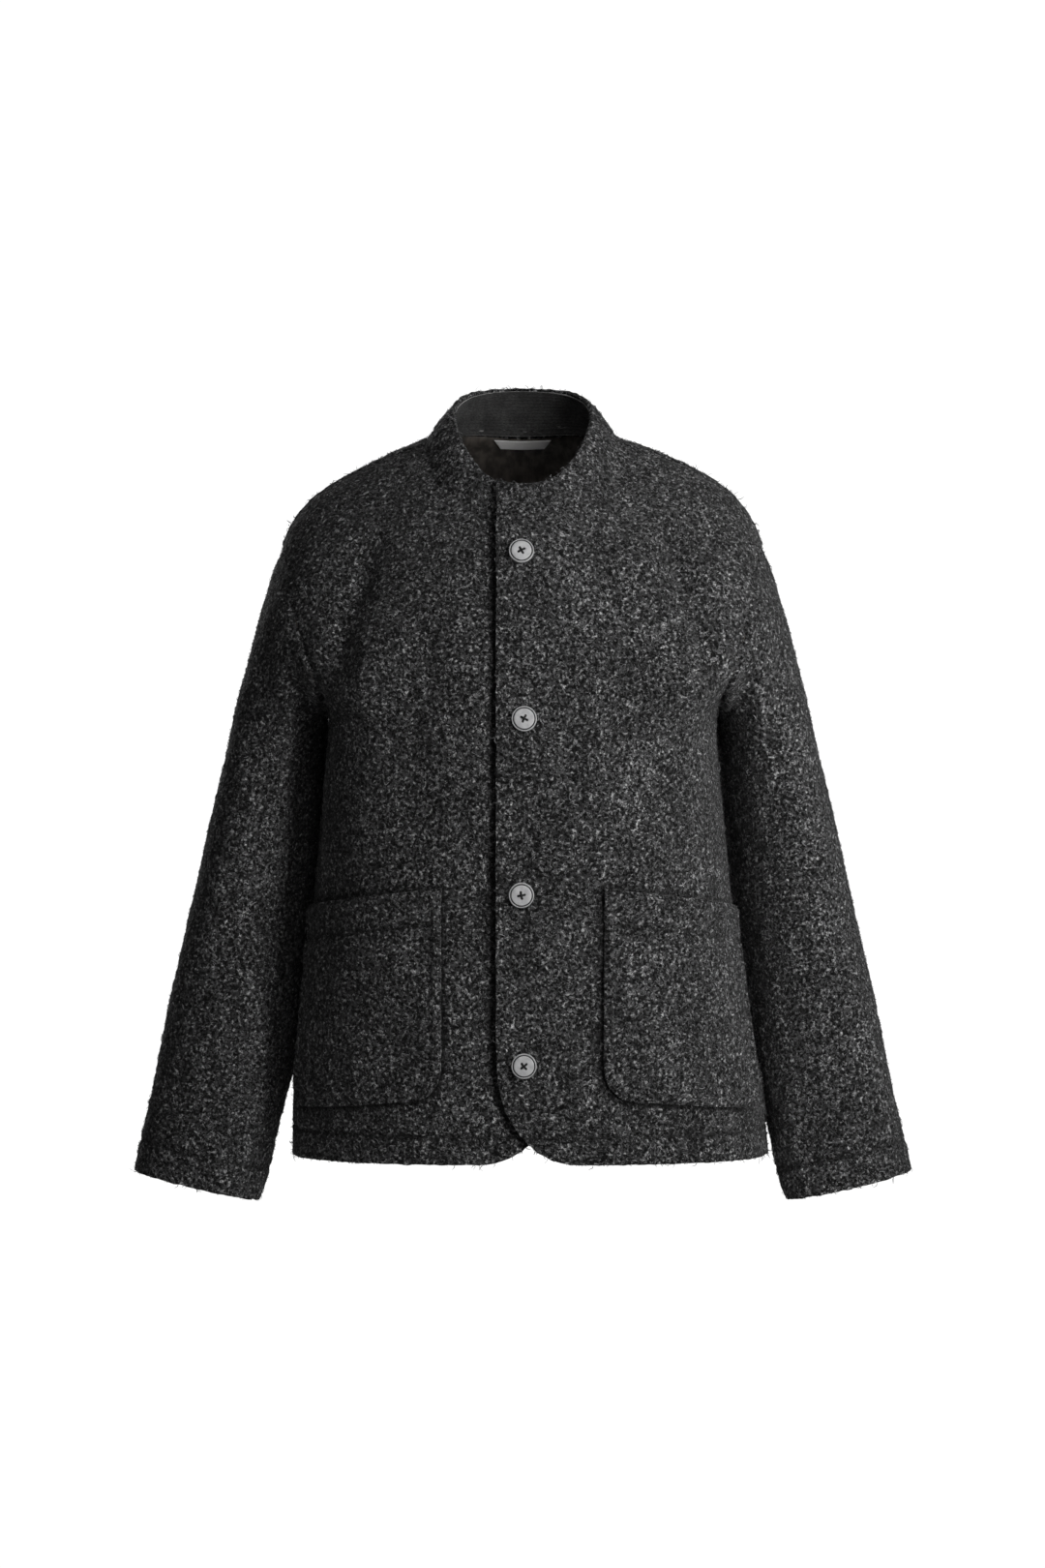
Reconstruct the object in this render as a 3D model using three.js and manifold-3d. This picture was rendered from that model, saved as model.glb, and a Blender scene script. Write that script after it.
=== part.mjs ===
import * as THREE from 'three';
import { mergeVertices } from 'three/addons/utils/BufferGeometryUtils.js';
import Module from 'manifold-3d';

// A short wool jacket, hollow as when it is worn, with a stand collar, four buttons and two patch pockets.
// Millimetres, +Z up. The front faces -Y, and +X is the wearer's left.
// The origin is in the middle of the neck, level with the top of the shoulders.

const SEAM_GAP = 0.3;
const CLOTH = 3;
const EDGE_CLOTH = 4;
const HEM_CLOTH = 5;
const HEM_HEIGHT = 27;
const HEM_Z = -667;
const GROOVE_DEPTH = 1.2;
const GROOVE_WIDTH = 3.5;

const OVERLAP_LIFT = 2.7;
const LEFT_FRONT_EDGE_X = -24;
const RIGHT_FRONT_EDGE_X = 37;
const LIFT_FADE = 50;
const FACED_MARGIN = 8;
const HEM_CORNER = { centreZ: -574, radiusX: 74, radiusZ: 93 };

const SWING_AT_HEM = 7.5;
const SWING_START_Z = -425;
const SWING_POWER = 1.3;

const POCKET_X = 74;
const POCKET_WIDTH = 172;
const POCKET_TOP_Z = -413;
const POCKET_TOP_SLOPE = -20;
const POCKET_BOTTOM_Z = -607;
const POCKET_HEIGHT = POCKET_TOP_Z - POCKET_BOTTOM_Z;
const POCKET_BOTTOM_SLOPE = -14;
const POCKET_CORNER = 27;
const POCKET_CLOTH = 3;
const POCKET_HEM_CLOTH = 4.4;
const POCKET_HEM = 30;
const POCKET_EDGE_GAP = 0.4;
const POCKET_BELLY = 2.6;

const SLEEVE_SIDES = 20;
const ARMHOLE_STEPS = SLEEVE_SIDES / 2;
const UNDERARM = { x: 187, z: -236 };
const RIGHT_SHOULDER_DROP = 5;

const COLLAR_CLOTH = 4.4;
const FACING_CLOTH = 1;
const FACING_RIB = 0.8;
const FACING_RIBS = 13;
const LINING_CLOTH = 1;
const NECK_TAPE_CLOTH = 1.5;
const LABEL = { topWidth: 57, bottomWidth: 43, topLevel: 0.06, bottomLevel: 0.42, cloth: 0.8, gap: 0.5 };

const BUTTON_DIAMETER = 23;
const BUTTON_HOLE_RADIUS = 1.0;
const BUTTON_HOLE_RING = 2.8;
const BUTTON_HOLE_SIDES = 8;
const BUTTON_SIDES = 20;
const BUTTON_OFF_CLOTH = 0.5;

const DEGREE = Math.PI / 180;

// Rows of values under named columns.
function table(columns, ...rows) {
  return rows.map((row) => Object.fromEntries(columns.map((column, i) => [column, row[i]])));
}

// Rings round the body from the neck seam to the hem. The five heights are at the centre front, 45, 90 and
// 135 degrees round, and the centre back. The front and back reaches are measured from the ring's middle.
const TORSO = table(
  ['zFront', 'zFrontSide', 'zSide', 'zBackSide', 'zBack', 'halfWidth', 'front', 'back', 'middle', 'square'],
  [-71, -52, 4, 18, 17, 92, 87, 73, -5, 2.0],
  [-94, -70, -3, 3, -4, 122, 104, 86, 0, 2.05],
  [-118, -84, -15.5, -18, -32, 155, 115, 98, 3, 2.15],
  [-145, -112, -32.5, -49, -66, 187, 124, 106, 5, 2.25],
  [-172, -142, -54.5, -82, -101, 210, 131, 112, 6, 2.35],
  [-200, -175, -89, -122, -140, 227, 136, 116, 6, 2.4],
  [-225, -207, -140, -165, -178, 234, 138, 118, 6, 2.45],
  [-247, -236, -195, -205, -213, 216, 139, 118, 5, 2.55],
  [-270, -265, -247, -252, -256, 183, 138.5, 116, 3, 2.7],
  [-300, -300, -300, -300, -300, 185, 137, 115, 2, 2.6],
  [-370, -370, -370, -370, -370, 192, 134, 115, 0, 2.5],
  [-450, -450, -450, -450, -450, 200, 130, 114, 0, 2.35],
  [-530, -530, -530, -530, -530, 210, 127, 114, 0, 2.3],
  [-600, -600, -600, -600, -600, 221, 124, 115, 0, 2.3],
  [HEM_Z, HEM_Z, HEM_Z, HEM_Z, HEM_Z, 225, 121, 116, 0, 2.3],
);
const HEIGHT_COLUMNS = ['zFront', 'zFrontSide', 'zSide', 'zBackSide', 'zBack'];
const HEIGHT_KEY_ANGLE = 45;
const SHOULDER_RING = 5;
const NARROWED_RING = 8;
const LEVEL_RING = 9;
const LAST_RING = TORSO.length - 1;

// Soft troughs (negative) and ridges in the body's front and back, each along a line between two places.
const BODY_FOLDS = table(
  ['face', 'x1', 'z1', 'x2', 'z2', 'width', 'height'],
  ['front', 134, -78, 172, -238, 26, -9],
  ['front', -142, -78, -174, -238, 26, -11],
  ['front', 150, -120, 166, -275, 22, 4],
  ['front', -147, -140, -152, -330, 28, 4],
  ['front', -100, -120, -102, -420, 36, -5],
  ['front', -62, -150, -60, -400, 34, 3],
  ['front', 100, -140, 112, -380, 38, -4],
  ['front', 62, -130, 66, -360, 34, 2.5],
  ['front', 168, -76, 184, -104, 18, -4],
  ['back', 138, -86, 170, -240, 28, -8],
  ['back', -138, -86, -172, -240, 28, -8],
  ['back', 92, -150, 104, -470, 40, -5],
  ['back', -84, -170, -100, -440, 40, -5],
  ['back', 40, -230, 52, -560, 36, 3],
  ['back', -34, -260, -48, -520, 36, 3],
);

// Sleeve rings from the armhole to the cuff: the outer and inner end of each, and half its depth from front
// to back. The inner ends lie behind the body's side.
const SLEEVE = table(
  ['outX', 'outY', 'outZ', 'inX', 'inY', 'inZ', 'halfDepth'],
  [227, 6, -89, 190, 4, -240, 79],
  [238, 7, -126, 189, 14, -250, 80],
  [248.5, 9, -163, 188, 30, -260, 80],
  [257.5, 10, -205, 187.5, 44, -273, 78.5],
  [268.5, 11, -254, 188, 52, -295, 76],
  [283, 10, -309, 190.5, 54, -341, 73],
  [300, 8, -382, 196.5, 52, -412, 68.5],
  [316, 6, -455, 204.5, 46, -485, 62.5],
  [333, 4, -528.5, 211.5, 34, -557, 55],
  [347, 2, -600, 230, 14, -627, 48],
  [357, 0, -650, 242, 5, -676.6, 41],
  [363, -1, -683, 252.5, 0, -709.6, 36],
);
const SLEEVE_SQUARE = 2.1;
const LEFT_SLEEVE_TUCK = [0, 0, 0, 0, 0, 0, 0.5, 3, 7.5, 2, 0, 0];

// Creases on the sleeves: where they run between two rings and round the ring, with 0 at the outer end and 90
// at the front, and how wide they are in millimetres.
const SLEEVE_FOLDS = table(
  ['ring1', 'turn1', 'ring2', 'turn2', 'width', 'height'],
  [0.6, 40, 5.2, 62, 26, 4],
  [1.2, 78, 4.6, 96, 24, -5],
  [4.8, 120, 6.4, 70, 20, -3],
  [6.6, 112, 8.0, 60, 22, -3],
  [5.2, 262, 7.0, 310, 24, -4],
  [1.4, 285, 4.8, 262, 26, -5],
);

// Top edge of the collar: heights every 30 degrees from the centre front to the centre back.
const COLLAR_TOP = { halfWidth: 66, reach: 73, middle: -7, heights: [-41, -32, 2, 35, 53, 61, 62.6] };
const COLLAR_KEY_ANGLE = 30;
const COLLAR_BULGE = 2;
const COLLAR_HEIGHT = 45;

const BUTTONS = table(
  ['x', 'z', 'turn'],
  [-1, -106, 28],
  [1.5, -259, 64],
  [-1, -419, 12],
  [1.3, -575, 45],
);

// A smooth curve through evenly spaced values. Its ends run straight on, or mirror for a closed ring.
function smoothAlong(values, position, mirrored = false) {
  const last = values.length - 1;
  const i = THREE.MathUtils.clamp(Math.floor(position), 0, last - 1);
  const t = position - i;
  const a = values[i];
  const b = values[i + 1];
  const before = i > 0 ? values[i - 1] : mirrored ? b : 2 * a - b;
  const after = i + 1 < last ? values[i + 2] : mirrored ? a : 2 * b - a;
  const slopeA = (b - before) / 2;
  const slopeB = (after - a) / 2;
  const t2 = t * t;
  const t3 = t2 * t;
  return a * (2 * t3 - 3 * t2 + 1) + slopeA * (t3 - 2 * t2 + t) + b * (3 * t2 - 2 * t3) + slopeB * (t3 - t2);
}

function columnsOf(rows) {
  return Object.fromEntries(Object.keys(rows[0]).map((name) => [name, rows.map((row) => row[name])]));
}

// The position where a rising or falling function of one number passes a goal.
function solve(measure, low, high, goal) {
  const halvings = 40;
  const rising = measure(high) > measure(low);
  let a = low;
  let b = high;
  for (let i = 0; i < halvings; i += 1) {
    const middle = (a + b) / 2;
    if (measure(middle) < goal === rising) {
      a = middle;
    } else {
      b = middle;
    }
  }
  return (a + b) / 2;
}

const smoothStep = (value) => THREE.MathUtils.smoothstep(value, 0, 1);
const rounded = (value, power) => Math.sign(value) * Math.abs(value) ** power;
const torso = columnsOf(TORSO);

// How far the body has swung to the wearer's left at a height.
function swing(z) {
  const down = Math.max(0, (SWING_START_Z - z) / (SWING_START_Z - HEM_Z));
  return SWING_AT_HEM * down ** SWING_POWER;
}

// The body's plain surface. The angle is 0 at the centre front, 90 at the wearer's left and -90 at the right.
function plainTorso(level, angle) {
  const power = 2 / smoothAlong(torso.square, level);
  const sine = Math.sin(angle * DEGREE);
  const cosine = Math.cos(angle * DEGREE);
  const turn = Math.acos(THREE.MathUtils.clamp(cosine, -1, 1)) / DEGREE;
  const heights = HEIGHT_COLUMNS.map((name) => smoothAlong(torso[name], level));
  const z = smoothAlong(heights, turn / HEIGHT_KEY_ANGLE, true);
  const reach = smoothAlong(cosine > 0 ? torso.front : torso.back, level);
  const x = smoothAlong(torso.halfWidth, level) * rounded(sine, power) + swing(z);
  const onShoulder = Math.sin(Math.PI * THREE.MathUtils.clamp(level / SHOULDER_RING, 0, 1));
  const drop = RIGHT_SHOULDER_DROP * onShoulder * Math.max(0, -sine) ** 2;
  const y = smoothAlong(torso.middle, level) - reach * rounded(cosine, power);
  return new THREE.Vector3(x, y, z - drop);
}

function surfaceNormal(surface, level, angle) {
  const levelStep = 0.03;
  const angleStep = 0.5;
  const along = surface(level, angle + angleStep).sub(surface(level, angle - angleStep));
  const down = surface(level + levelStep, angle).sub(surface(level - levelStep, angle));
  return down.cross(along).normalize();
}

// The share of a crease's length over which it fades at each end, and how much of it is left there.
const CREASE_FADE = 0.3;
const CREASE_AT_ENDS = 0.15;

// The height of one crease at a flat place: a soft bump across its line, which fades out at both ends.
function creaseHeight(crease, u, v, u1, v1, u2, v2) {
  const du = u2 - u1;
  const dv = v2 - v1;
  const t = ((u - u1) * du + (v - v1) * dv) / (du * du + dv * dv);
  const nearest = THREE.MathUtils.clamp(t, 0, 1);
  const distance = Math.hypot(u - u1 - nearest * du, v - v1 - nearest * dv);
  if (distance >= crease.width) {
    return 0;
  }
  const fade = smoothStep(Math.min(nearest, 1 - nearest) / CREASE_FADE + CREASE_AT_ENDS);
  return crease.height * fade * 0.5 * (1 + Math.cos(Math.PI * distance / crease.width));
}

// The body's creases die away towards its sides, where the front meets the back.
const SIDE_FADE = 30;

function bodyFolds(point) {
  const face = point.y < 0 ? 'front' : 'back';
  const sideFade = smoothStep(Math.abs(point.y) / SIDE_FADE);
  let height = 0;
  for (const fold of BODY_FOLDS) {
    if (fold.face === face) {
      height += creaseHeight(fold, point.x, point.z, fold.x1, fold.z1, fold.x2, fold.z2);
    }
  }
  return height * sideFade;
}

function foldedTorso(level, angle) {
  const point = plainTorso(level, angle);
  const height = bodyFolds(point);
  return height === 0 ? point : point.addScaledVector(surfaceNormal(plainTorso, level, angle), height);
}

// The armhole lies in a plane through the shoulder's end and the underarm. Its normal points down the sleeve.
const SHOULDER_END = { x: TORSO[SHOULDER_RING].halfWidth, z: TORSO[SHOULDER_RING].zSide };
function armholeNormal(side) {
  const run = SHOULDER_END.x - UNDERARM.x;
  const drop = SHOULDER_END.z - UNDERARM.z;
  return new THREE.Vector3(side * drop, 0, -run).normalize();
}

function beyondArmhole(point, side) {
  const corner = new THREE.Vector3(side * SHOULDER_END.x, 0, SHOULDER_END.z);
  return point.clone().sub(corner).dot(armholeNormal(side));
}

// The armhole's curve: for each level down it, the angles at which its front and back edges lie.
function findArmhole(side) {
  const sideAngle = side * 90;
  const reach = side * 75;
  const depthAtSide = (level) => beyondArmhole(foldedTorso(level, sideAngle), side);
  const bottom = solve(depthAtSide, NARROWED_RING - 1, NARROWED_RING, 0);
  const rows = [];
  for (let i = 0; i <= ARMHOLE_STEPS; i += 1) {
    const down = (1 - Math.cos(Math.PI * i / ARMHOLE_STEPS)) / 2;
    const level = THREE.MathUtils.lerp(SHOULDER_RING, bottom, down);
    const crossing = (angle) => beyondArmhole(foldedTorso(level, angle), side);
    const atEnd = i === 0 || i === ARMHOLE_STEPS;
    const front = atEnd ? sideAngle : solve(crossing, sideAngle - reach, sideAngle, 0);
    const back = atEnd ? sideAngle : solve(crossing, sideAngle + reach, sideAngle, 0);
    rows.push({ level, front, back, down });
  }
  const points = rows.flatMap((row) => [row.front, row.back].map((angle) => foldedTorso(row.level, angle)));
  const sum = points.reduce((total, point) => total.add(point), new THREE.Vector3());
  const centre = sum.divideScalar(points.length);
  return { rows, points, centre, bottom };
}

const ARMHOLES = { 1: findArmhole(1), '-1': findArmhole(-1) };

const levelAtHeight = (z) => solve((level) => smoothAlong(torso.zSide, level), LEVEL_RING, LAST_RING, z);

function angleAtX(level, x) {
  return solve((angle) => plainTorso(level, angle).x, -80, 80, x);
}

// A walk along a path on the body from 0 to 1, from which the place at any share of its length is read.
function walkPath(path) {
  const steps = 120;
  const lengths = [0];
  let last = null;
  for (let i = 0; i <= steps; i += 1) {
    const { level, angle } = path(i / steps);
    const point = foldedTorso(level, angle);
    if (last) {
      lengths.push(lengths[i - 1] + point.distanceTo(last));
    }
    last = point;
  }
  const total = lengths[steps];
  const at = (length) => {
    const goal = THREE.MathUtils.clamp(length, 0, total);
    const i = Math.max(1, lengths.findIndex((value) => value >= goal));
    return path((i - 1 + (goal - lengths[i - 1]) / (lengths[i] - lengths[i - 1])) / steps);
  };
  return { total, at };
}

function walkLevel(level, from, to) {
  return walkPath((part) => ({ level, angle: THREE.MathUtils.lerp(from, to, part) }));
}

// How far the lapping fronts stand off the plain surface at a place across the front.
function overlapLift(side, x) {
  const edge = side > 0 ? RIGHT_FRONT_EDGE_X : LEFT_FRONT_EDGE_X;
  const past = side > 0 ? x - edge : edge - x;
  return side * OVERLAP_LIFT * (1 - smoothStep(past / LIFT_FADE));
}

// A closed wall from its outer and inner points, in rows. A tube's rows close on themselves.
function wall(outer, inner, tube = false) {
  const rows = outer.length;
  const columns = outer[0].length;
  const spans = tube ? columns : columns - 1;
  const positions = [...outer.flat(), ...inner.flat()].flatMap((point) => point.toArray());
  const outerAt = (r, c) => r * columns + (c % columns);
  const innerAt = (r, c) => rows * columns + outerAt(r, c);
  const faces = [];
  const quad = (a, b, c, d) => faces.push(a, b, c, a, c, d);
  for (let r = 0; r + 1 < rows; r += 1) {
    for (let c = 0; c < spans; c += 1) {
      quad(outerAt(r, c), outerAt(r + 1, c), outerAt(r + 1, c + 1), outerAt(r, c + 1));
      quad(innerAt(r, c), innerAt(r, c + 1), innerAt(r + 1, c + 1), innerAt(r + 1, c));
    }
    if (!tube) {
      quad(outerAt(r, 0), innerAt(r, 0), innerAt(r + 1, 0), outerAt(r + 1, 0));
      quad(outerAt(r, spans), outerAt(r + 1, spans), innerAt(r + 1, spans), innerAt(r, spans));
    }
  }
  for (let c = 0; c < spans; c += 1) {
    quad(outerAt(0, c), outerAt(0, c + 1), innerAt(0, c + 1), innerAt(0, c));
    quad(outerAt(rows - 1, c), innerAt(rows - 1, c), innerAt(rows - 1, c + 1), outerAt(rows - 1, c + 1));
  }
  return solidGeometry(positions, faces);
}

function signedVolume(positions, faces) {
  const corner = (i) => new THREE.Vector3().fromArray(positions, 3 * faces[i]);
  let volume = 0;
  for (let i = 0; i < faces.length; i += 3) {
    volume += corner(i).dot(corner(i + 1).cross(corner(i + 2)));
  }
  return volume;
}

function solidGeometry(positions, faces) {
  if (signedVolume(positions, faces) < 0) {
    for (let i = 0; i < faces.length; i += 3) {
      [faces[i + 1], faces[i + 2]] = [faces[i + 2], faces[i + 1]];
    }
  }
  const geometry = new THREE.BufferGeometry();
  geometry.setAttribute('position', new THREE.Float32BufferAttribute(positions, 3));
  geometry.setIndex(faces);
  geometry.computeVertexNormals();
  return geometry;
}

const LEVELS_ABOVE_ARMHOLE = [0.012, 0.45, 1, 1.7, 2.4, 3.1, 3.8, 4.45];
const LEVELS_BELOW_ARMHOLE = [8.25, 9];
const HEIGHTS_BELOW = [-340, -380, -412, -450, -490, -530, -570, -600, -622, -637];

// The rows down a panel on one side. Beside the armhole a row follows the armhole's own level at its end, and
// an even level at the panel's middle.
function panelRows(side, edge) {
  const sideAngle = side * 90;
  const plain = (level) => ({ level, endLevel: level, endAngle: sideAngle });
  const grooveTop = HEM_Z + HEM_HEIGHT;
  const rows = LEVELS_ABOVE_ARMHOLE.map(plain);
  const armhole = ARMHOLES[side];
  armhole.rows.forEach((row, i) => {
    const level = THREE.MathUtils.lerp(SHOULDER_RING, armhole.bottom, i / ARMHOLE_STEPS);
    rows.push({ level, endLevel: row.level, endAngle: row[edge], armhole });
  });
  rows.push(...LEVELS_BELOW_ARMHOLE.map(plain), ...HEIGHTS_BELOW.map((z) => plain(levelAtHeight(z))));
  rows.push({ ...plain(levelAtHeight(grooveTop)), groove: true });
  rows.push({ ...plain(levelAtHeight(grooveTop - GROOVE_WIDTH)), hem: true });
  rows.push({ ...plain(LAST_RING), hem: true });
  return rows;
}

// The places of a row's columns, from the panel's middle to its side. Columns crowd towards the armhole, so
// that those near the middle run straight down.
const ARMHOLE_CROWDING = 2.5;

function rowPlaces(row, startAngle, side, shares) {
  const path = (part) => ({
    level: THREE.MathUtils.lerp(row.level, row.endLevel, smoothStep(part)),
    angle: THREE.MathUtils.lerp(startAngle, row.endAngle, part),
  });
  const walk = walkPath(path);
  const whole = row.armhole ? walkLevel(row.endLevel, startAngle, side * 90).total : walk.total;
  const missing = Math.max(0, whole - walk.total);
  const atSide = Math.abs(Math.abs(row.endAngle) - 90) < 1e-6;
  const length = atSide ? walk.total - SEAM_GAP / 2 : walk.total;
  return shares.map((share) => {
    const crowded = (whole * share - missing * share ** ARMHOLE_CROWDING) / (whole - missing);
    return walk.at(crowded * length);
  });
}

// A panel's outer and inner point at a level and angle.
function clothPair(level, angle, lift, thickness) {
  const normal = surfaceNormal(foldedTorso, level, angle);
  const outer = foldedTorso(level, angle).addScaledVector(normal, lift);
  return { outer, inner: outer.clone().addScaledVector(normal, -thickness) };
}

// At the armhole the wall is cut in the armhole's own plane, towards its middle.
function armholePair(level, angle, side, armhole) {
  const outer = foldedTorso(level, angle);
  const inward = armhole.centre.clone().sub(outer).projectOnPlane(armholeNormal(side)).normalize();
  return { outer, inner: outer.clone().addScaledVector(inward, CLOTH) };
}

// A square corner's place moved into a round one, by how far it lies past the corner's centre both ways.
function intoRoundCorner(a, b) {
  return [a * Math.sqrt(1 - b * b / 2), b * Math.sqrt(1 - a * a / 2)];
}

function roundHemCorner(side, level, angle) {
  const plain = plainTorso(level, angle);
  const { centreZ, radiusX, radiusZ } = HEM_CORNER;
  const centreX = frontEdgeX(side) + side * radiusX;
  const across = side * (centreX - plain.x) / radiusX;
  const down = (centreZ - plain.z) / radiusZ;
  if (across <= 0 || down <= 0) {
    return { level, angle };
  }
  const [a, b] = intoRoundCorner(Math.min(across, 1), Math.min(down, 1));
  const newLevel = levelAtHeight(centreZ - b * radiusZ);
  return { level: newLevel, angle: angleAtX(newLevel, centreX - side * a * radiusX) };
}

// Shares of a level's length at which the front's columns stand. Two of them are the pocket's edges.
const FRONT_COLUMNS = { beforePocket: 5, acrossPocket: 8, afterPocket: 1 };
const POCKET_TOP_LEVEL = levelAtHeight(POCKET_TOP_Z);

const frontEdgeX = (side) => (side > 0 ? LEFT_FRONT_EDGE_X : RIGHT_FRONT_EDGE_X);
const frontEdgeAngle = (side, level) => angleAtX(level, frontEdgeX(side));

function pocketShares(side, level) {
  const atLevel = Math.max(level, POCKET_TOP_LEVEL);
  const startAngle = frontEdgeAngle(side, atLevel);
  const whole = walkLevel(atLevel, startAngle, side * 90).total;
  const toPocket = walkLevel(atLevel, startAngle, angleAtX(atLevel, side * POCKET_X)).total;
  return { start: toPocket / whole, end: (toPocket + POCKET_WIDTH) / whole };
}

function frontColumns(side, level) {
  const { beforePocket, acrossPocket, afterPocket } = FRONT_COLUMNS;
  const { start, end } = pocketShares(side, level);
  const shares = [];
  for (let i = 0; i < beforePocket; i += 1) {
    shares.push(start * i / beforePocket);
  }
  for (let i = 0; i < acrossPocket; i += 1) {
    shares.push(THREE.MathUtils.lerp(start, end, i / acrossPocket));
  }
  for (let i = 0; i <= afterPocket; i += 1) {
    shares.push(THREE.MathUtils.lerp(end, 1, i / afterPocket));
  }
  return shares;
}

// The cloth is double where it is faced along the lapping edges, and thicker still in the turned hem.
function frontThickness(side, x, inHem) {
  const faced = side > 0 ? x < RIGHT_FRONT_EDGE_X + FACED_MARGIN : x > LEFT_FRONT_EDGE_X - FACED_MARGIN;
  if (faced) {
    return EDGE_CLOTH;
  }
  return inHem ? HEM_CLOTH : CLOTH;
}

function frontPanel(side) {
  const outer = [];
  const inner = [];
  for (const row of panelRows(side, 'front')) {
    const places = rowPlaces(row, frontEdgeAngle(side, row.level), side, frontColumns(side, row.level));
    const pairs = places.map((place, column) => {
      if (row.armhole && column === places.length - 1) {
        return armholePair(place.level, place.angle, side, row.armhole);
      }
      const { level, angle } = roundHemCorner(side, place.level, place.angle);
      const lift = overlapLift(side, plainTorso(level, angle).x) - (row.groove ? GROOVE_DEPTH : 0);
      return clothPair(level, angle, lift, frontThickness(side, plainTorso(level, angle).x, row.hem));
    });
    outer.push(pairs.map((pair) => pair.outer));
    inner.push(pairs.map((pair) => pair.inner));
  }
  return wall(outer, inner);
}

const BACK_HALF_COLUMNS = 10;

// One half of a row of the back, from the centre to the side.
function backHalfRow(row, side) {
  const shares = Array.from({ length: BACK_HALF_COLUMNS + 1 }, (_, i) => i / BACK_HALF_COLUMNS);
  return rowPlaces(row, side * 180, side, shares).map((place, column) => {
    if (row.armhole && column === BACK_HALF_COLUMNS) {
      return armholePair(place.level, place.angle, side, row.armhole);
    }
    return clothPair(place.level, place.angle, row.groove ? -GROOVE_DEPTH : 0, row.hem ? HEM_CLOTH : CLOTH);
  });
}

function backPanel() {
  const rightRows = panelRows(-1, 'back');
  const rows = panelRows(1, 'back').map((row, r) => {
    return [...backHalfRow(row, 1).reverse(), ...backHalfRow(rightRows[r], -1).slice(1)];
  });
  const layer = (face) => rows.map((pairs) => pairs.map((pair) => pair[face]));
  return wall(layer('outer'), layer('inner'));
}

// Sleeves
const sleeve = columnsOf(SLEEVE);

// A sleeve ring's middle, and the way from it to its outer end.
function sleeveFrame(side, position) {
  const value = (name) => smoothAlong(sleeve[name], position);
  const tuck = side > 0 ? smoothAlong(LEFT_SLEEVE_TUCK, position) : 0;
  const out = new THREE.Vector3(side * value('outX'), value('outY'), value('outZ'));
  const inside = new THREE.Vector3(side * (value('inX') + tuck), value('inY'), value('inZ'));
  const centre = out.clone().add(inside).multiplyScalar(0.5);
  return { centre, outward: out.sub(centre), halfDepth: value('halfDepth') };
}

function sleeveRing(side, position, turn, scale = 1) {
  const { centre, outward, halfDepth } = sleeveFrame(side, position);
  const power = 2 / SLEEVE_SQUARE;
  const point = centre.addScaledVector(outward, scale * rounded(Math.cos(turn * DEGREE), power));
  point.y -= scale * halfDepth * rounded(Math.sin(turn * DEGREE), power);
  return point;
}

// Where an armhole point lies round the sleeve's first ring: its turn, its scale, and what is left over.
function armholeTurn(side, point, evenTurn) {
  const { centre, outward, halfDepth } = sleeveFrame(side, 0);
  const from = point.clone().sub(centre);
  const flat = new THREE.Vector3(outward.x, 0, outward.z);
  const out = from.dot(flat) / flat.lengthSq();
  const front = (out * outward.y - from.y) / halfDepth;
  const scale = (Math.abs(out) ** SLEEVE_SQUARE + Math.abs(front) ** SLEEVE_SQUARE) ** (1 / SLEEVE_SQUARE);
  const power = SLEEVE_SQUARE / 2;
  const turn = Math.atan2(rounded(front / scale, power), rounded(out / scale, power)) / DEGREE;
  const unwrapped = turn + 360 * Math.round((evenTurn - turn) / 360);
  return { turn: unwrapped, scale, rest: point.clone().sub(sleeveRing(side, 0, unwrapped, scale)) };
}

// Creases are placed on the sleeve laid flat, about 65 mm from ring to ring and 1.1 mm for each degree.
function sleeveFolds(position, turn) {
  const flat = (ring, degrees) => [ring * 65, degrees * 1.1];
  let height = 0;
  for (const fold of SLEEVE_FOLDS) {
    const ends = [...flat(fold.ring1, fold.turn1), ...flat(fold.ring2, fold.turn2)];
    height += creaseHeight(fold, ...flat(position, turn), ...ends);
  }
  return height;
}

const SLEEVE_POSITIONS = [
  0, 0.5, 1, 1.5, 2, 2.6, 3.2, 3.8, 4.4, 5, 5.5, 6, 6.5, 7, 7.5, 8, 8.5, 9, 9.5, 10.05, 10.12, 10.6, 11,
];
const CUFF_GROOVE_POSITION = 10.05;

function armholeStart(side) {
  const { rows } = ARMHOLES[side];
  const front = rows.map((row) => foldedTorso(row.level, row.front));
  const back = rows.slice(1, -1).map((row) => foldedTorso(row.level, row.back)).reverse();
  return [...front, ...back].map((point) => point.addScaledVector(armholeNormal(side), SEAM_GAP));
}

// How many rings down a sleeve its points take to leave the armhole's own shape.
const TURN_SETTLES = 3;
const SCALE_SETTLES = 2;
const REST_SETTLES = 1;

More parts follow.
